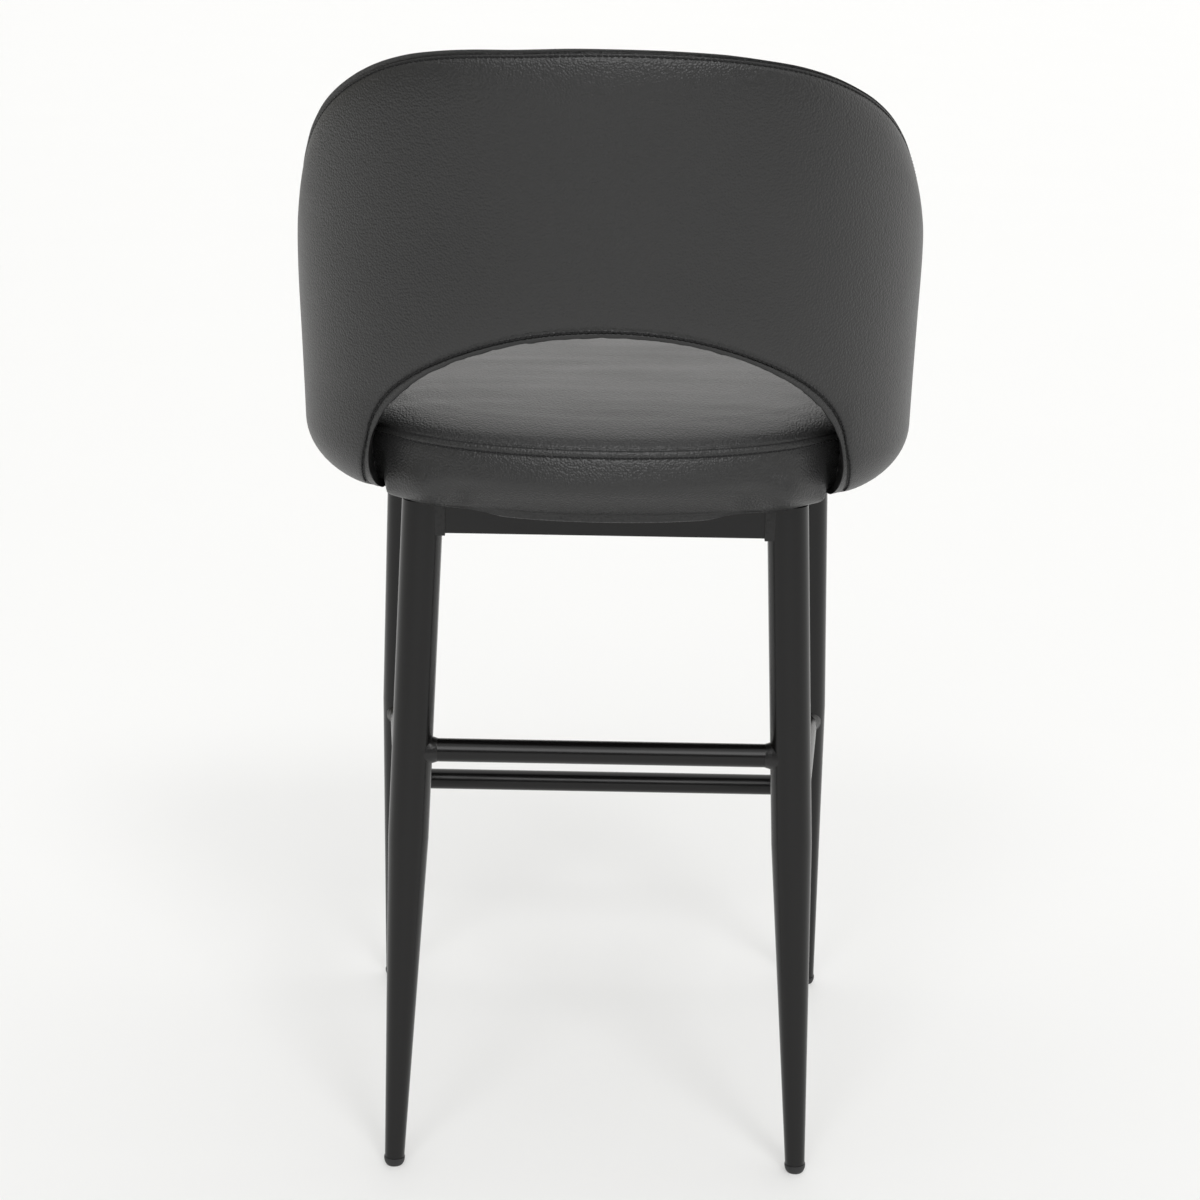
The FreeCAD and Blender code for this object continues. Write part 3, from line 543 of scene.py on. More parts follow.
    def lower(self, v, depth, inset):
        """Arch and lower edge moved in by inset: v is 0 at the arch's crown, 0.5 at its foot, 1 at
        the arm's lower front."""
        s = self.s
        wide = s.arch_half_width + inset
        high = s.arch_height + inset
        foot = math.asin((self.low - self.arch_centre) / s.arch_height)
        angle = math.pi / 2 - np.minimum(v / 0.5, 1.0) * (math.pi / 2 - foot)
        x = wide * np.cos(angle)
        z = np.maximum(self.arch_centre + high * np.sin(angle), self.low)
        w_arch = self.place_at_x(x, z, depth)
        w_end, _ = self.upper(np.array([1.0]), depth, 0.0)
        w_foot = self.place_at_x(wide * math.cos(foot), np.array(self.low), depth)
        share = np.clip((v - 0.5) / 0.5, 0.0, 1.0)
        w = np.where(v <= 0.5, w_arch, w_foot + (w_end[0] - w_foot) * share)
        return w, np.where(v <= 0.5, z, self.low)


def even_shares(points, count):
    """Parameter values that divide a sampled line of points evenly."""
    run = np.concatenate([[0.0], np.cumsum(np.linalg.norm(np.diff(points, axis=0), axis=1))])
    return np.interp(np.linspace(0.0, run[-1], count), run, np.linspace(0.0, 1.0, len(points))), run[-1]


def row_shares(span, marks, middle):
    """Shares across a panel: rows at the marked distances from each edge and even ones between.
    span is the panel's width at each column."""
    marks = np.array(marks)
    squeeze = np.minimum(1.0, span / (2.6 * marks[-1]))[:, None]
    near = marks[None, :] * squeeze / np.maximum(span, 1e-6)[:, None]
    start = near[:, -1:]
    between = start + (1.0 - 2.0 * start) * np.linspace(0.0, 1.0, middle + 2)[None, 1:-1]
    return np.concatenate([near, between, 1.0 - near[:, ::-1]], axis=1)


SEAM_MARKS = [0.0, 0.0006, 0.0013, 0.0022, 0.0034, 0.0048, 0.0066, 0.0092, 0.0130]
STITCH_MARK = 4              # the tub's topstitch runs along this row of marks
BAND_STITCH_MARK = 6         # and the seat's along this one


def seam_relief(distance, margin_up, groove, stitch):
    """Height beside a seam: a sharp groove, a raised margin where the allowance is folded under,
    then a dimple where the topstitch pulls the fabric down."""
    fold = groove * -np.exp(-(distance / 0.0007) ** 2)
    raised = margin_up * ramp(distance, 0.0003, 0.0013) * (1.0 - ramp(distance, stitch - 0.0010, stitch))
    pulled = -0.0010 * np.exp(-((distance - stitch) / 0.0010) ** 2)
    return fold + raised + pulled


class STOOL_OT_tub_cover(bpy.types.Operator):
    """Make the upholstered tub back: outer panel, rim facing, inner panel and arch facing"""
    bl_idname = "stool.tub_cover"
    bl_label = "Tub back"

    def execute(self, context):
        settings = context.scene.stool_tub
        colours = context.scene.stool_colours
        shape = TubShape(settings)
        line = np.linspace(0.0, 1.0, 900)
        w, z = shape.upper(line, 0.0, 0.0)
        edge_points = shape.point(w, z, 0.0)
        count = int(round(np.linalg.norm(np.diff(edge_points, axis=0), axis=1).sum() / settings.column))
        u, _ = even_shares(edge_points, count)
        foot_w = shape.lower(np.array([0.5]), 0.0, 0.0)[0][0]
        u_w = shape.upper(u, 0.0, 0.0)[0]
        foot_column = int(np.argmax(u_w > foot_w * 1.10))
        arch_line = shape.point(*shape.lower(line * 0.5, 0.0, 0.0), 0.0)
        edge_line = shape.point(*shape.lower(0.5 + line * 0.5, 0.0, 0.0), 0.0)
        arch_v, _ = even_shares(arch_line, foot_column + 1)
        edge_v, _ = even_shares(edge_line, count - foot_column)
        v = np.concatenate([arch_v[:-1] * 0.5, 0.5 + edge_v * 0.5])
        half, seams = self.half_loop(shape, settings, u, v, foot_column, 1.0)
        mirror = self.half_loop(shape, settings, u, v, foot_column, -1.0)[0][:, :0:-1]
        mirror[:, :, 0] *= -1.0
        grid = np.concatenate([mirror, half], axis=1)
        grid = self.relief(grid, seams, foot_column, count)
        rows, cols = grid.shape[:2]
        vertices = grid.reshape(-1, 3)
        faces = grid_faces(rows, cols, wrap_rows=True)
        ends = [vertices.reshape(rows, cols, 3)[:, c].mean(axis=0) for c in (0, cols - 1)]
        vertices = np.concatenate([vertices, ends])
        for end, c in ((0, 0), (1, cols - 1)):
            hub = rows * cols + end
            faces += [(hub, r * cols + c, ((r + 1) % rows) * cols + c) for r in range(rows)]
        vinyl = material_named("embossed_vinyl", vinyl_material, colours)
        piece = make_piece("tub_back", vertices, faces, vinyl)
        # the arch facing takes the darkened vinyl, its painted shade
        piece.data.materials.append(material_named("gathered_vinyl", facing_material, colours))
        low, high = seams["arch_fold"]
        middle = cols // 2
        for r in range(low, high):
            for c in range(cols - 1):
                if abs(c + 0.5 - middle) < foot_column + 12:
                    piece.data.polygons[r * (cols - 1) + c].material_index = 1
        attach(piece, "root")
        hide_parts("back_outer_cover", "back_inner_cover", "back_outer_foam",
                    "back_inner_foam", "back_edge_foam", "back_edge_facing")
        context.scene["stool_tub_rows"] = json.dumps(seams)
        return {"FINISHED"}

    def half_loop(self, shape, s, u, v, foot_column, side):
        """Loops across the wall for the half plan: outer panel, arch facing and lower edge, inner
        panel, rim facing. side is 1 on the sitter's left and -1 on the right, where the facing was
        sewn narrower. Returns the grid and the row numbers of its seams."""
        foot = foot_column
        columns = np.arange(len(u))
        towards_foot = np.clip(columns / foot, 0.0, 1.0)
        arch_seam = s.arch_seam_top + (s.arch_seam_side - s.arch_seam_top) * ramp(towards_foot, 0.30, 0.78)
        arch_seam = 0.004 + (arch_seam - 0.004) * (1.0 - ramp(towards_foot, 0.84, 1.0))
        fade = 1.0 - ramp(columns, len(u) * 0.90, len(u) - 1.0)
        past_foot = ramp(columns, foot, foot + 30)
        arch_seam = arch_seam * (1.0 - past_foot) + 0.003 * past_foot
        rim_seam = (s.rim_seam + side * s.rim_skew * ramp(columns, 0.0, 70.0)) * fade + 0.0005

        shoulder = ramp(columns, 14, 58) if side > 0 else ramp(columns, 32, 72)

        def top_edge(depth):
            """Padded edge, standing least above the shell's edge at the rear centre."""
            least = shape.upper(u, depth, -0.25 * s.fullness)
            most = shape.upper(u, depth, -s.fullness)
            return [a + (b - a) * shoulder for a, b in zip(least, most)]

        def across(depth, low_inset, high_inset, marks, middle):
            low_w, low_z = shape.lower(v, depth, 0.0)
            top_w, top_z = top_edge(depth)
            low_t = shape.unroll(low_z)
            top_t = shape.unroll(top_z)
            low = shape.point(low_w, low_z, depth)
            top = shape.point(top_w, top_z, depth)
            height = np.maximum(np.linalg.norm(top - low, axis=1), 1e-6)
            # the seams lie at set distances from the wall's edges, measured along the face
            start = np.minimum(low_inset / height, 0.3)[:, None]
            stop = 1.0 - np.minimum(high_inset / height, 0.3)[:, None]
            shares = row_shares(height * (stop - start)[:, 0], marks, middle)
            shares = start + (stop - start) * shares
            w = low_w[:, None] + (top_w - low_w)[:, None] * shares
            t = low_t[:, None] + (top_t - low_t)[:, None] * shares
            return shape.point(w, shape.roll(t), depth).transpose(1, 0, 2)

        outer = across(0.0, arch_seam, rim_seam, SEAM_MARKS, 44)
        inner = across(1.0, np.full(len(u), 0.0022), rim_seam, SEAM_MARKS, 44)
        wall = inner[-1] - outer[-1]
        thickness = np.linalg.norm(wall, axis=1)
        wall /= np.maximum(thickness, 1e-6)[:, None]
        for panel, depth, reach, way in ((outer, s.edge_roll, 0.040, 1.0), (inner, 0.005, 0.022, -1.0)):
            steps = np.linalg.norm(np.diff(panel, axis=0), axis=2)
            run = np.concatenate([np.zeros((1, steps.shape[1])), np.cumsum(steps, axis=0)])
            room = np.minimum(1.0, run[-1] / 0.080) * np.minimum(1.0, thickness / 0.028) * fade
            near = np.clip(1.0 - (run[-1] - run) / reach, 0.0, 1.0)
            roll = depth * (1.0 - np.sqrt(1.0 - near ** 2 * 0.97)) * room
            panel += way * wall[None] * roll[..., None]
        rim_out = shape.point(*top_edge(0.0), 0.0)
        rim_out = rim_out + wall * (0.4 * s.edge_roll * fade)[:, None]
        rim_in = shape.point(*top_edge(1.0), 1.0) - wall * (0.003 * fade)[:, None]
        # past the arch the lower fold hangs clear of the shell's own edge
        arch_out = shape.point(*shape.lower(v, 0.0, 0.0), 0.0)
        arch_out[:, 2] -= 0.0014 * past_foot
        arch_in = shape.point(*shape.lower(v, 1.0, 0.0), 1.0)
        arch_in[:, 2] -= 0.0014 * past_foot
        rim = self.rolled(outer[-1], inner[-1], rim_out, rim_in, 18, 0.62)
        corner = np.minimum(arch_seam, 0.0035)[None, :, None]
        reach = np.maximum(np.linalg.norm(outer[0] - arch_out, axis=1), 1e-6)[None, :, None]
        near = arch_out + (outer[0] - arch_out) * np.minimum(corner[0] / reach[0], 1.0)
        steps = np.linspace(0.0, 1.0, 7)[:-1, None, None]
        margin = outer[0][None] + (near - outer[0])[None] * steps
        fold = self.rolled(near, inner[0], arch_out, arch_in, 22, 0.5)
        half = np.concatenate([outer, rim[1:-1], inner[::-1], fold[::-1][1:], margin[1:][::-1]])
        seams = {"outer": [0, len(outer) - 1], "rim": [len(outer), len(outer) + len(rim) - 3]}
        inner_start = len(outer) + len(rim) - 2
        seams["inner"] = [inner_start, inner_start + len(inner) - 1]
        fold_start = inner_start + len(inner)
        seams["arch_fold"] = [fold_start - 1, fold_start + len(fold) - 2]
        seams["margin"] = [fold_start + len(fold) - 2, len(half) - 1]
        return half, seams

    def rolled(self, first, last, first_edge, last_edge, count, box):
        """Padded strip from one face to the other, bulging out to the wall's edge."""
        rows = []
        for i in range(count):
            turn = math.pi * i / (count - 1)
            cosine = math.cos(turn)
            share = 0.5 - 0.5 * math.copysign(abs(cosine) ** box, cosine)
            lift = math.sin(turn) ** box
            base = first + (last - first) * share
            out = (first_edge - first) * (1.0 - share) + (last_edge - last) * share
            rows.append(base + out * lift)
        return np.array(rows)

    def relief(self, grid, seams, foot, count):
        """Seams pulled in, panels swelling between them, and creases in the facings."""
        normals = grid_normals(grid, wrap_rows=True)
        if (normals[20, grid.shape[1] // 2] @ np.array([0.0, 1.0, 0.0])) < 0.0:
            normals = -normals
        moved = np.zeros(grid.shape[:2])
        columns = np.abs(np.arange(grid.shape[1]) - grid.shape[1] // 2)
        near_end = 1.0 - ramp(columns, count * 0.93, count - 1.0)
        puff = bpy.context.scene.stool_tub.puff
        for name, raised, groove, amount, easy in (("outer", 0.0003, 0.0012, puff, 0.022),
                                                   ("inner", 0.0003, 0.0012, 0.004, 0.012)):
            first, last = seams[name]
            panel = grid[first:last + 1]
            steps = np.linalg.norm(np.diff(panel, axis=0), axis=2)
            run = np.concatenate([np.zeros((1, steps.shape[1])), np.cumsum(steps, axis=0)])
            from_low = run
            from_top = run[-1] - run
            width = np.maximum(run[-1], 1e-4)
            room = np.minimum(1.0, width / 0.060)
            swell = (1.0 - np.exp(-from_low / 0.012)) * (1.0 - np.exp(-from_top / easy))
            stitch = SEAM_MARKS[STITCH_MARK]
            relief = (seam_relief(from_low, raised, groove, stitch)
                      + seam_relief(from_top, raised, groove, stitch))
            moved[first:last + 1] += (relief + amount * swell) * room
        low, high = seams["arch_fold"]
        arch = 1.0 - ramp(columns, foot + 6.0, foot + 26.0)
        length_along = np.concatenate([[0.0], np.cumsum(np.linalg.norm(
            np.diff(grid[(low + high) // 2], axis=0), axis=1))])
        across = np.linspace(0.0, math.pi, high - low + 1)
        seeds = noise_field(np.stack([length_along, length_along * 0.0, length_along * 0.0], axis=-1),
                            (95.0, 1.0, 1.0), 3.7)
        fine = noise_field(np.stack([length_along, length_along * 0.0, length_along * 0.0], axis=-1),
                           (260.0, 1.0, 1.0), 8.1)
        pucker = (0.0011 * seeds + 0.0006 * fine) * arch
        moved[low:high + 1] += np.sin(across)[:, None] * pucker[None, :]
        margin_low, margin_high = seams["margin"]
        share = np.linspace(1.0, 0.0, margin_high - margin_low + 1)[:, None]
        moved[margin_low:margin_high + 1] += (0.0005 * np.sin(share * math.pi)
                                              + 0.35 * share * pucker[None, :])
        rim_low, rim_high = seams["rim"]
        wave = noise_field(grid[rim_low:rim_high + 1], (30.0, 30.0, 30.0), 1.3)
        moved[rim_low:rim_high + 1] += 0.0004 * wave
        broad = noise_field(grid, (7.0, 7.0, 11.0), 5.5)
        moved += 0.0007 * broad
        grid = grid + normals * (moved * near_end)[..., None]
        # the shoulder on the sitter's left is stuffed a little fuller
        shoulder = ramp(grid[..., 2], 0.88, 1.03) * ramp(grid[..., 0], 0.05, 0.20)
        lopsided = bpy.context.scene.stool_tub.lopsided
        grid[..., 0] += lopsided * shoulder
        grid[..., 2] += 0.9 * lopsided * shoulder
        return grid


# ---- seat ----------------------------------------------------------------------------------------

CROWN_TABLE = ((0.0, 0.0), (0.0012, 0.10), (0.003, 0.20), (0.008, 0.36), (0.016, 0.50), (0.028, 0.64),
               (0.046, 0.78), (0.076, 0.90), (0.110, 0.97), (0.150, 1.0), (0.400, 1.0))


class SeatShape:
    """Plan of the seat at any height and inset, the same all round as the space inside the tub."""

    def __init__(self, tub, settings):
        self.tub = tub
        self.s = settings

    def outline(self, t, z, inset, fuller=0.0):
        """Point at share t round the plan, from the left side round the rear and back by the front.
        fuller, up to 1, swells the rear corners out over the leg tops, where no tub holds them."""
        tub = self.tub
        s = self.s
        c = tub.s.centre_y
        rise = ramp(z, tub.low, s.seam_z - 0.030)
        room = tub.wall_side(z) + 0.0008 + inset
        held = tub.back(z) - tub.wall_back(z) - 0.0008 - inset
        free = s.back_y - 0.022 * (1.0 - rise) - inset
        front = s.front_y + 0.012 * (1.0 - rise) + inset
        power = 2.0 / tub.s.plan_power
        turn = math.pi / 2 - 2.0 * math.pi * t
        sine = np.sin(turn)
        half = tub.side(z, np.full_like(t, c)) - room
        x = half * np.sign(sine) * np.abs(sine) ** power
        y = c + (held - c) * np.abs(np.cos(turn)) ** power
        y = y + (free - held) * (1.0 - ramp(np.abs(x), 0.150, 0.200))
        box = np.clip(1.0 - (np.abs(x) / half) ** 2.85, 0.0, 1.0) ** (1.0 / 2.85)
        window = ramp(np.abs(x), 0.122, 0.164) * (1.0 - ramp(np.abs(x), 0.197, 0.2035))
        y = y + np.maximum(0.0, c + (free - c) * box - y) * window * fuller
        turn_front = 2.0 * math.pi * (t - 0.5)
        along = np.clip(np.sin(turn_front), 0.0, 1.0) ** (2.0 / 4.4)
        cosine = np.cos(turn_front)
        y_front = c - (c - front) * along
        x_front = -(tub.side(z, y_front) - room) * np.sign(cosine) * np.abs(cosine) ** (2.0 / 4.4)
        rear = t < 0.5
        return np.stack([np.where(rear, x, x_front), np.where(rear, y, y_front),
                         np.full_like(t, z)], axis=-1)


class STOOL_OT_seat_cushion(bpy.types.Operator):
    """Make the seat cushion: crowned top panel, side band and the cover turned under the board"""
    bl_idname = "stool.seat_cushion"
    bl_label = "Seat cushion"

    def execute(self, context):
        s = context.scene.stool_seat
        tub = TubShape(context.scene.stool_tub)
        shape = SeatShape(tub, s)
        fine = np.linspace(0.0, 1.0, 6001)[:-1]
        closed = np.concatenate([fine, [0.0]])
        ring = shape.outline(closed, s.seam_z, 0.0)
        run = np.concatenate([[0.0], np.cumsum(np.linalg.norm(np.diff(ring, axis=0), axis=1))])
        count = int(run[-1] / 0.0036)
        t = np.interp(np.linspace(0.0, run[-1], count + 1)[:-1], run, np.append(fine, 1.0))
        rows = []
        free, hang = self.freedom(shape, t, s)
        centre = np.array([0.0, -0.020, 0.0])
        # turned under the board, from the inner edge of the turning out to the lower roll
        under = FRAME_TOP + 0.0006
        for inset, z, fuller in ((0.030, under, 0.0), (0.022, under, 0.3), (0.014, under - 0.0004, 0.8)):
            rows.append(self.level(shape, t, tub.low, inset, z, fuller))
        roll_low = FRAME_TOP - s.sag
        for inset, share in ((0.009, 0.55), (0.006, 0.92), (0.003, 1.0), (0.0005, 0.88), (-0.001, 0.55)):
            ring = self.level(shape, t, tub.low, inset, under, 1.0)
            ring[:, 2] += (roll_low - under) * share * hang
            rows.append(ring)
        first_band = len(rows)
        seam = s.seam_z
        levels = np.concatenate([np.linspace(tub.low + 0.0015, seam - 0.0130, 22),
                                 seam - np.array(SEAM_MARKS[::-1])[1:]])
        band_span = seam - tub.low
        for z in levels:
            up = (z - tub.low) / band_span
            ring = shape.outline(t, max(z, tub.low), 0.0, 1.0 - ramp(up, 0.10, 0.75))
            bulge = s.swell * math.sin(math.pi * min(1.0, up * 1.02)) ** 0.75 * free
            hold = self.hold(up)
            ring[:, :2] += self.outward(ring) * (bulge - 0.0006 * (1 - free) + hold)[:, None]
            ring[:, 2] = z
            rows.append(ring)
        seam_row = len(rows) - 1
        seam_ring = rows[-1].copy()
        inward = centre - seam_ring
        inward[:, 2] = 0.0
        reach = np.linalg.norm(inward, axis=1)
        distances = np.concatenate([np.array(SEAM_MARKS[1:]), np.linspace(0.017, 0.100, 18)])
        table = np.array(CROWN_TABLE)
        for d in distances:
            ring = seam_ring + inward / reach[:, None] * d
            ring[:, 2] = seam + s.crown * np.interp(d, table[:, 0], table[:, 1])
            rows.append(ring)
        start = distances[-1]
        for i in range(1, 34):
            share = i / 34.0
            d = start + (reach - start) * share
            ring = seam_ring + inward / reach[:, None] * d[:, None]
            ring[:, 2] = seam + s.crown * np.interp(d, table[:, 0], table[:, 1])
            rows.append(ring)
        grid = np.array(rows)
        grid = self.relief(grid, seam_row, first_band, free)
        rows_n, cols = grid.shape[:2]
        vertices = grid.reshape(-1, 3)
        faces = grid_faces(rows_n, cols, wrap_cols=True)
        top = grid[-1].mean(axis=0)
        low = grid[0].mean(axis=0)
        vertices = np.concatenate([vertices, [top, low]])
        hub = rows_n * cols
        for c in range(cols):
            after = (c + 1) % cols
            faces.append((hub, (rows_n - 1) * cols + after, (rows_n - 1) * cols + c))
            faces.append((hub + 1, c, after))
        vinyl = material_named("embossed_vinyl", vinyl_material, context.scene.stool_colours)
        piece = make_piece("seat_cushion", vertices, faces, vinyl)
        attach(piece, "root")
        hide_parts("seat_foam", "seat_side_band", "seat_top_panel")
        context.scene["stool_seat_rows"] = json.dumps([seam_row, cols])
        return {"FINISHED"}

    def freedom(self, shape, t, s):
        """How free the band is to swell, and its lower roll to hang, at each place: 1 in the open
        at the arch and at the front, 0 where the tub holds it or a leg stands under it."""
        ring = shape.outline(t, s.seam_z, 0.0)
        across = np.abs(ring[:, 0])
        rear = (1.0 - ramp(across, 0.165, 0.203)) * (ring[:, 1] > 0.0)
        front = ramp(-ring[:, 1], 0.196, 0.236)
        rear_hang = (1.0 - ramp(across, 0.105, 0.147)) * (ring[:, 1] > 0.0)
        front_hang = ramp(-ring[:, 1], 0.240, 0.262) * (1.0 - ramp(across, 0.150, 0.180))
        return np.maximum(rear, front), np.maximum(rear_hang, front_hang)

    def level(self, shape, t, height, inset, z, fuller):
        ring = shape.outline(t, height, inset, fuller)
        ring[:, 2] = z
        return ring

    def outward(self, ring):
        """Unit directions out of a closed ring, in plan."""
        along = np.roll(ring, -1, axis=0) - np.roll(ring, 1, axis=0)
        out = np.stack([-along[:, 1], along[:, 0]], axis=1)
        out /= np.maximum(np.linalg.norm(out, axis=1, keepdims=True), 1e-9)
        if np.sum(out * ring[:, :2]) < 0.0:
            out = -out
        return out

    def hold(self, up):
        """The lower edge of the band is drawn in towards the board."""
        return -0.003 * (1.0 - min(1.0, up / 0.10)) ** 2

    def relief(self, grid, seam_row, first_band, free):
        normals = grid_normals(grid, wrap_cols=True)
        if normals[-5, 0, 2] < 0.0:
            normals = -normals
        steps = np.linalg.norm(np.diff(grid, axis=0), axis=2)
        run = np.concatenate([np.zeros((1, steps.shape[1])), np.cumsum(steps, axis=0)])
        from_seam = np.abs(run - run[seam_row])
        rows = np.arange(len(grid))[:, None]
        band = (rows <= seam_row) & (rows >= first_band)
        top = rows > seam_row
        stitch = SEAM_MARKS[BAND_STITCH_MARK]
        moved = np.where(band, seam_relief(from_seam, 0.0008, 0.0011, stitch), 0.0)
        edge_fold = (0.0006 * np.exp(-((from_seam - 0.0017) / 0.0009) ** 2)
                     - 0.0010 * np.exp(-(from_seam / 0.0007) ** 2))
        moved += np.where(top, edge_fold, 0.0)
        creases = noise_field(grid, (5.0, 38.0, 14.0), 2.2)
        broad = noise_field(grid, (9.0, 14.0, 12.0), 6.4)
        pulls = noise_field(grid, (60.0, 60.0, 8.0), 4.9)
        calm = ramp(from_seam, 0.006, 0.030)
        moved += np.where(top, (0.0006 * creases + 0.0010 * broad) * calm, 0.0)
        near = np.exp(-from_seam / 0.014)
        moved += np.where(band, (0.0007 * broad + 0.0005 * pulls * near) * calm, 0.0)
        return grid + normals * moved[..., None]


# ---- stitching -----------------------------------------------------------------------------------

def stitch_mesh(line, normals, pitch, radius, closed=False):
    """Stitches lying along a line of surface points: each is a short bent length of thread whose
    ends dive into the fabric."""
    if closed:
        line = np.concatenate([line, line[:1]])
        normals = np.concatenate([normals, normals[:1]])
    run = np.concatenate([[0.0], np.cumsum(np.linalg.norm(np.diff(line, axis=0), axis=1))])
    count = int(run[-1] / pitch)
    step = run[-1] / count
    heights = (-1.3, -0.1, 0.75, 0.95, 0.75, -0.1, -1.3)
    places = (0.06, 0.12, 0.27, 0.48, 0.69, 0.84, 0.90)
    vertices = []
    faces = []
    sides = 6
    for i in range(count):
        spots = [(i + place) * step for place in places]
        centre = np.stack([np.interp(spots, run, line[:, k]) for k in range(3)], axis=1)
        up = np.stack([np.interp(spots, run, normals[:, k]) for k in range(3)], axis=1)
        up /= np.maximum(np.linalg.norm(up, axis=1, keepdims=True), 1e-9)
        centre = centre + up * (np.array(heights) * radius)[:, None]
        along = np.gradient(centre, axis=0)
        along /= np.maximum(np.linalg.norm(along, axis=1, keepdims=True), 1e-9)
        across = np.cross(along, up)
        across /= np.maximum(np.linalg.norm(across, axis=1, keepdims=True), 1e-9)
        lift = np.cross(across, along)
        centre = centre + across * (0.35 * radius * np.linspace(-1.0, 1.0, len(places)))[:, None]
        base = len(vertices)
        for k in range(len(places)):
            for j in range(sides):
                turn = 2.0 * math.pi * j / sides
                vertices.append(centre[k] + radius * (math.cos(turn) * across[k] + math.sin(turn) * lift[k]))
        for k in range(len(places) - 1):
            for j in range(sides):
                after = (j + 1) % sides
                faces.append((base + k * sides + j, base + k * sides + after,
                              base + (k + 1) * sides + after, base + (k + 1) * sides + j))
        faces.append(tuple(base + j for j in range(sides))[::-1])
        faces.append(tuple(base + (len(places) - 1) * sides + j for j in range(sides)))
    return vertices, faces


def mesh_points(piece):
    flat = np.empty(len(piece.data.vertices) * 3, np.float32)
    piece.data.vertices.foreach_get("co", flat)
    points = flat.reshape(-1, 3).astype(float)
    piece.data.vertices.foreach_get("normal", flat)
    return points, flat.reshape(-1, 3).astype(float)


class STOOL_OT_stitching(bpy.types.Operator):
    """Sew the topstitching beside the seams of the tub and of the seat"""
    bl_idname = "stool.stitching"
    bl_label = "Topstitching"

    def execute(self, context):
        s = context.scene.stool_stitches
        thread = material_named("polyester_thread", thread_material, context.scene.stool_colours)
        tub = bpy.data.objects.get("tub_back")
        seat = bpy.data.objects.get("seat_cushion")
        if tub is None or seat is None:
            raise RuntimeError("the tub back and the seat cushion are made before the stitching")
        rows = json.loads(context.scene["stool_tub_rows"])
        points, normals = mesh_points(tub)
        loop = rows["margin"][1] + 1
        cols = (len(points) - 2) // loop
        points = points[:loop * cols].reshape(loop, cols, 3)
        normals = normals[:loop * cols].reshape(loop, cols, 3)
        outer_low, outer_high = rows["outer"]
        inner_top, _ = rows["inner"]
        trim = 14
        lines = {
            "stitches_rim_outside": (outer_high - STITCH_MARK, trim, cols - trim),
            "stitches_rim_inside": (inner_top + STITCH_MARK, trim, cols - trim),
            "stitches_arch": (outer_low + 2, *self.arch_columns(points[outer_low])),
        }
        for name, (row, first, last) in lines.items():
            vertices, faces = stitch_mesh(points[row, first:last], normals[row, first:last],
                                          s.pitch, s.thread)
            self.add(name, vertices, faces, thread)
        seam_row, seat_cols = json.loads(context.scene["stool_seat_rows"])
        points, normals = mesh_points(seat)
        row = seam_row - BAND_STITCH_MARK
        span = slice(row * seat_cols, (row + 1) * seat_cols)
        vertices, faces = stitch_mesh(points[span], normals[span], s.pitch, s.thread, closed=True)
        self.add("stitches_seat_band", vertices, faces, thread)
        return {"FINISHED"}

    def arch_columns(self, row):
        """First and last columns beside the arch, down to where it meets the lower edge."""
        middle = len(row) // 2
        high = np.argmax(row[middle:, 2] < FRAME_TOP + 0.012)
        return middle - high, middle + high

    def add(self, name, vertices, faces, material):
        piece = make_piece(name, vertices, faces, material)
        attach(piece, "root")


# ---- underside -----------------------------------------------------------------------------------

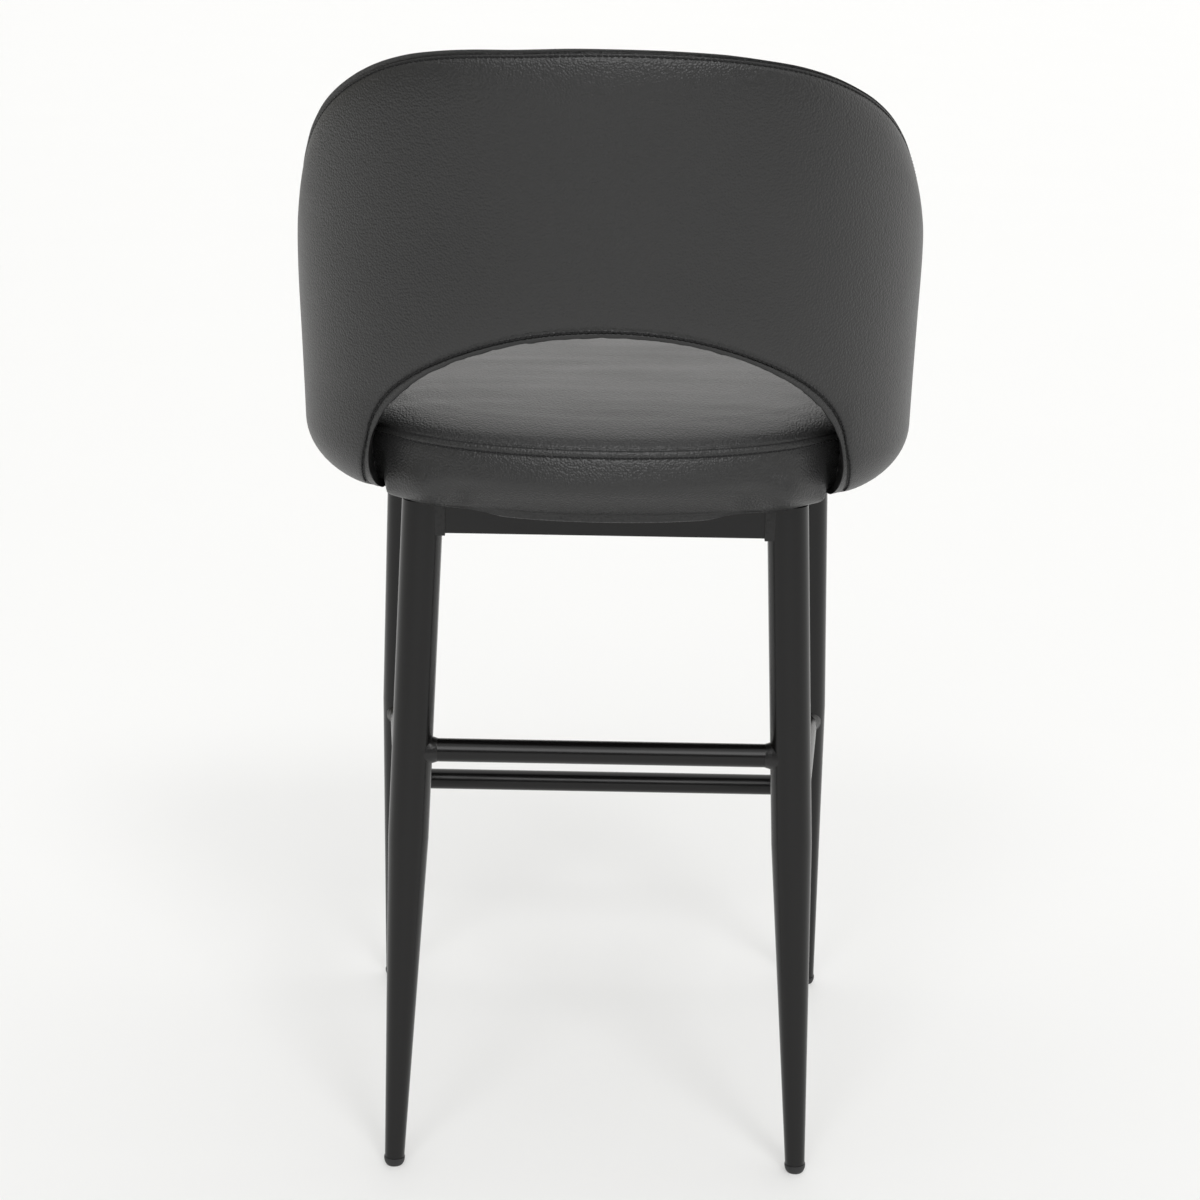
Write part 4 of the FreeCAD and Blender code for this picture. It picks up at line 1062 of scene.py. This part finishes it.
class STOOL_OT_dust_cover(bpy.types.Operator):
    """Stretch the dust cover under the seat board and staple it round its edge"""
    bl_idname = "stool.dust_cover"
    bl_label = "Dust cover"

    def execute(self, context):
        tub = TubShape(context.scene.stool_tub)
        shape = SeatShape(tub, context.scene.stool_seat)
        low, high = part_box("dust_cover")
        t = np.linspace(0.0, 1.0, 241)[:-1]
        rim = shape.outline(t, tub.low, 0.020)
        rim[:, 0] *= high.x / rim[:, 0].max()
        middle = np.array([0.0, (low.y + high.y) / 2.0, 0.0])
        rings = []
        for i in range(1, 25):
            share = i / 24.0
            ring = middle + (rim - middle) * share
            ring[:, 2] = low.z + 0.0004 + 0.0002 * np.sin(ring[:, 0] * 60.0) * (1.0 - share)
            rings.append(ring)
        grid = np.array(rings)
        top = grid.copy()
        top[..., 2] += 0.0003
        rows, cols = grid.shape[:2]
        vertices = np.concatenate([grid.reshape(-1, 3), top[::-1].reshape(-1, 3),
                                   [grid[0].mean(axis=0), top[0].mean(axis=0)]])
        faces = grid_faces(rows * 2, cols, wrap_cols=True)
        hub = rows * cols * 2
        for c in range(cols):
            after = (c + 1) % cols
            faces.append((hub, after, c))
            faces.append((hub + 1, (2 * rows - 1) * cols + c, (2 * rows - 1) * cols + after))
        cloth = material_named("spunbond_cloth", spunbond_material)
        piece = make_piece("dust_cloth", vertices, faces, cloth, smooth=False)
        outline = rim[:, :2]
        after = np.roll(outline, -1, axis=0)
        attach(piece, "root")
        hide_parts("dust_cover")
        self.staples(rim, middle, low.z)
        return {"FINISHED"}

    def staples(self, rim, middle, z):
        """Crowned wire staples, 10 mm wide, set about 25 mm apart."""
        vertices = []
        faces = []
        for i in range(0, len(rim), 4):
            here = rim[i] + (middle - rim[i]) * 0.035
            along = rim[(i + 1) % len(rim)] - rim[i - 1]
            along[2] = 0.0
            along /= np.linalg.norm(along)
            inward = np.array([-along[1], along[0], 0.0])
            base = len(vertices)
            for end in (-1.0, -0.85, 0.85, 1.0):
                drop = 0.0 if abs(end) == 1.0 else -0.00045
                for a, b in ((-1, 0), (0, -1), (1, 0), (0, 1)):
                    spot = here + along * 0.005 * end + inward * 0.0004 * a
                    spot[2] = z + 0.0003 + drop + 0.0002 * b
                    vertices.append(spot)
            for k in range(3):
                for j in range(4):
                    after = (j + 1) % 4
                    faces.append((base + k * 4 + j, base + k * 4 + after,
                                  base + (k + 1) * 4 + after, base + (k + 1) * 4 + j))
            faces.append((base + 3, base + 2, base + 1, base))
            faces.append((base + 12, base + 13, base + 14, base + 15))
        piece = make_piece("dust_cloth_staples", vertices, faces,
                           material_named("zinc_plated_steel", zinc_material), smooth=False)
        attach(piece, "root")


# ---- frame finishes ------------------------------------------------------------------------------

class STOOL_OT_frame_finish(bpy.types.Operator):
    """Give the tube frame, fixings, foot caps and boards their finishes"""
    bl_idname = "stool.frame_finish"
    bl_label = "Frame finishes"

    def execute(self, context):
        colours = context.scene.stool_colours
        by_slot = {
            "frame_steel": material_named("powder_coated_steel", powder_material, colours),
            "plate_steel": material_named("powder_coated_steel", powder_material, colours),
            "weld": material_named("coated_weld", weld_material, colours),
            "glide": material_named("moulded_polyethylene", moulded_material),
            "bolt": material_named("zinc_plated_steel", zinc_material),
            "washer": material_named("zinc_plated_steel", zinc_material),
            "tee_nut": material_named("zinc_plated_steel", zinc_material),
            "bracket_steel": material_named("zinc_plated_steel", zinc_material),
            "screw": material_named("zinc_plated_steel", zinc_material),
            "plywood": material_named("birch_plywood", plywood_material),
            "core": material_named("moulded_polyethylene", moulded_material),
        }
        for part in frame["record"]["subparts"]:
            finish = by_slot.get(part["material_slot"])
            node = NODES[part["node"]]
            if finish is None:
                continue
            for place in node.material_slots:
                place.material = finish
        self.plugs(by_slot["glide"])
        return {"FINISHED"}

    def plugs(self, finish):
        """Low domed plugs that close the open tops of the two front legs."""
        radius = 0.0188
        rings = ((1.0, -0.0006), (1.0, 0.0008), (0.96, 0.0014), (0.86, 0.0019), (0.62, 0.0023), (0.30, 0.0025))
        turns = np.linspace(0.0, 2.0 * math.pi, 49)[:-1]
        vertices, faces = [], []
        for name, side in (("leg_front_left", 1.0), ("leg_front_right", -1.0)):
            low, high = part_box(name)
            # a leg leans out and forward, so its top is the inner rear corner of its box
            inner = low.x if side > 0 else high.x
            base = len(vertices)
            for share, rise in rings:
                vertices += [(inner + side * 0.019 + radius * share * math.cos(a),
                              high.y - 0.019 + radius * share * math.sin(a), high.z + rise) for a in turns]
            faces += grid_faces(len(rings), len(turns), wrap_cols=True, start=base)
            faces.append(tuple(range(base + len(turns) - 1, base - 1, -1)))
            last = base + (len(rings) - 1) * len(turns)
            faces.append(tuple(range(last, last + len(turns))))
        piece = make_piece("leg_plugs", vertices, faces, finish)
        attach(piece, "root")


# ---- stage ---------------------------------------------------------------------------------------

CAMERA_PLACE = (-0.01254, 2.43257, 1.24866)
CAMERA_YAW = 0.4             # degrees, turned from straight down -Y
CAMERA_PITCH = -16.6
CAMERA_ROLL = 0.9
CAMERA_LENS = 78.0           # millimetres on a 36 mm frame


class STOOL_OT_stage(bpy.types.Operator):
    """Lay the floor and set the camera and the soft studio light"""
    bl_idname = "stool.stage"
    bl_label = "Stage"

    def execute(self, context):
        scene = context.scene
        scene.view_settings.view_transform = "Standard"
        self.floor(scene.stool_colours)
        self.camera(scene)
        self.sky(scene)
        self.lamp("key", -24.0, 44.0, 0.60)
        self.lamp("fill", 20.0, 44.0, 0.28)
        return {"FINISHED"}

    def floor(self, colours):
        half = 30.0
        cells = 12
        line = np.linspace(-half, half, cells + 1)
        vertices = [(x, y, 0.0) for y in line for x in line]
        floor = make_piece("floor", vertices, grid_faces(cells + 1, cells + 1),
                           material_named("painted_floor", floor_material, colours))

    def camera(self, scene):
        yaw, pitch, roll = (math.radians(a) for a in (CAMERA_YAW, CAMERA_PITCH, CAMERA_ROLL))
        ahead = Vector((math.sin(yaw) * math.cos(pitch), -math.cos(yaw) * math.cos(pitch),
                        math.sin(pitch)))
        right = ahead.cross(Vector((0.0, 0.0, 1.0))).normalized()
        up = right.cross(ahead)
        side = right * math.cos(roll) + up * math.sin(roll)
        top = up * math.cos(roll) - right * math.sin(roll)
        turn = Matrix((side, top, -ahead)).transposed().to_4x4()
        data = bpy.data.cameras.new("camera")
        data.lens = CAMERA_LENS
        data.sensor_width = 36.0
        data.clip_end = 100.0
        camera = bpy.data.objects.new("camera", data)
        camera.matrix_world = Matrix.Translation(CAMERA_PLACE) @ turn
        scene.collection.objects.link(camera)
        scene.camera = camera

    def sky(self, scene):
        """Bright overhead and beyond the stool, dimmer on the sitter's left. Behind the camera there
        is only a low softbox, which draws the light line along each rail."""
        world = bpy.data.worlds.new("studio")
        world.use_nodes = True
        world.node_tree.nodes.clear()
        way = add_node(world, "ShaderNodeTexCoord").outputs["Generated"]
        axes = add_node(world, "ShaderNodeSeparateXYZ", None, {"Vector": way})
        behind = add_node(world, "ShaderNodeMapRange", {"From Min": -0.35, "From Max": 0.75,
                                                        "interpolation_type": "SMOOTHSTEP"},
                          {"Value": axes.outputs["Y"]})
        above = add_node(world, "ShaderNodeMapRange", {"From Min": 0.45, "From Max": 0.90,
                                                       "interpolation_type": "SMOOTHSTEP"},
                         {"Value": axes.outputs["Z"]})
        left = add_node(world, "ShaderNodeMapRange", {"From Min": 0.05, "From Max": 0.75,
                                                      "interpolation_type": "SMOOTHSTEP"},
                        {"Value": axes.outputs["X"]})
        sides = blend_colours(world, left.outputs["Result"], (1.12, 1.11, 1.09, 1.0),
                              (0.30, 0.29, 0.25, 1.0))
        low_box = add_node(world, "ShaderNodeValToRGB", None, {"Fac": axes.outputs["Z"]})
        marks = low_box.color_ramp.elements
        marks[0].position, marks[1].position = 0.34, 0.84
        for position, bright in ((0.34, 0.15), (0.44, 4.2), (0.72, 4.2), (0.84, 0.50)):
            mark = marks[0] if position == 0.34 else marks[-1] if position == 0.84 else marks.new(position)
            mark.color = (bright, bright, bright, 1.0)
        off_line = add_node(world, "ShaderNodeMath", {"operation": "ABSOLUTE"},
                            {"Value": axes.outputs["X"]})
        beyond = add_node(world, "ShaderNodeMapRange", {"From Min": 0.22, "From Max": 0.42,
                                                        "interpolation_type": "SMOOTHSTEP"},
                          {"Value": off_line.outputs["Value"]})
        box_light = add_node(world, "ShaderNodeMix", {"data_type": "RGBA"})
        world.node_tree.links.new(beyond.outputs["Result"], box_light.inputs["Factor"])
        world.node_tree.links.new(low_box.outputs["Color"], box_light.inputs[6])
        box_light.inputs[7].default_value = (0.15, 0.15, 0.15, 1.0)
        round_about = add_node(world, "ShaderNodeMix", {"data_type": "RGBA"})
        world.node_tree.links.new(behind.outputs["Result"], round_about.inputs["Factor"])
        world.node_tree.links.new(sides, round_about.inputs[6])
        world.node_tree.links.new(box_light.outputs[2], round_about.inputs[7])
        whole = add_node(world, "ShaderNodeMix", {"data_type": "RGBA"})
        world.node_tree.links.new(above.outputs["Result"], whole.inputs["Factor"])
        world.node_tree.links.new(round_about.outputs[2], whole.inputs[6])
        whole.inputs[7].default_value = (1.05, 1.05, 1.05, 1.0)
        light = add_node(world, "ShaderNodeBackground", {"Strength": 1.0}, {"Color": whole.outputs[2]})
        add_node(world, "ShaderNodeOutputWorld", None, {"Surface": light.outputs["Background"]})
        scene.world = world

    def lamp(self, name, turn, height, strength):
        """Broad distant softbox behind the camera: turn is its angle from +Y towards +X."""
        data = bpy.data.lights.new(name, "SUN")
        data.energy = strength
        data.angle = math.radians(14.0)
        lamp = bpy.data.objects.new(name, data)
        turn, height = math.radians(turn), math.radians(height)
        away = -Vector((math.sin(turn) * math.cos(height), math.cos(turn) * math.cos(height),
                        math.sin(height)))
        lamp.rotation_euler = away.to_track_quat("-Z", "Y").to_euler()
        lamp.location = -away * 4.0
        bpy.context.scene.collection.objects.link(lamp)


# ---- add-on --------------------------------------------------------------------------------------

OPERATORS = (STOOL_OT_stage, STOOL_OT_tub_cover, STOOL_OT_seat_cushion, STOOL_OT_stitching,
             STOOL_OT_dust_cover, STOOL_OT_frame_finish)
SETTINGS = {"stool_tub": StoolTubSettings, "stool_seat": StoolSeatSettings,
            "stool_stitches": StoolStitchSettings, "stool_colours": StoolColourSettings}


class STOOL_PT_pieces(bpy.types.Panel):
    """Pieces of the stool and their settings"""
    bl_idname = "STOOL_PT_pieces"
    bl_label = "Bar stool"
    bl_space_type = "VIEW_3D"
    bl_region_type = "UI"
    bl_category = "Stool"

    def draw(self, context):
        for operator in OPERATORS:
            self.layout.operator(operator.bl_idname)
        for name, group in SETTINGS.items():
            box = self.layout.box()
            for field in group.__annotations__:
                box.prop(getattr(context.scene, name), field)


def register():
    for group in SETTINGS.values():
        bpy.utils.register_class(group)
    for name, group in SETTINGS.items():
        setattr(bpy.types.Scene, name, PointerProperty(type=group))
    for operator in OPERATORS:
        bpy.utils.register_class(operator)
    bpy.utils.register_class(STOOL_PT_pieces)


def unregister():
    bpy.utils.unregister_class(STOOL_PT_pieces)
    for operator in reversed(OPERATORS):
        bpy.utils.unregister_class(operator)
    for name in SETTINGS:
        delattr(bpy.types.Scene, name)
    for group in reversed(list(SETTINGS.values())):
        bpy.utils.unregister_class(group)


def main():
    register()
    bpy.ops.stool.stage()
    bpy.ops.stool.tub_cover()
    bpy.ops.stool.seat_cushion()
    bpy.ops.stool.stitching()
    bpy.ops.stool.dust_cover()
    bpy.ops.stool.frame_finish()


if __name__ == "__main__":
    main()
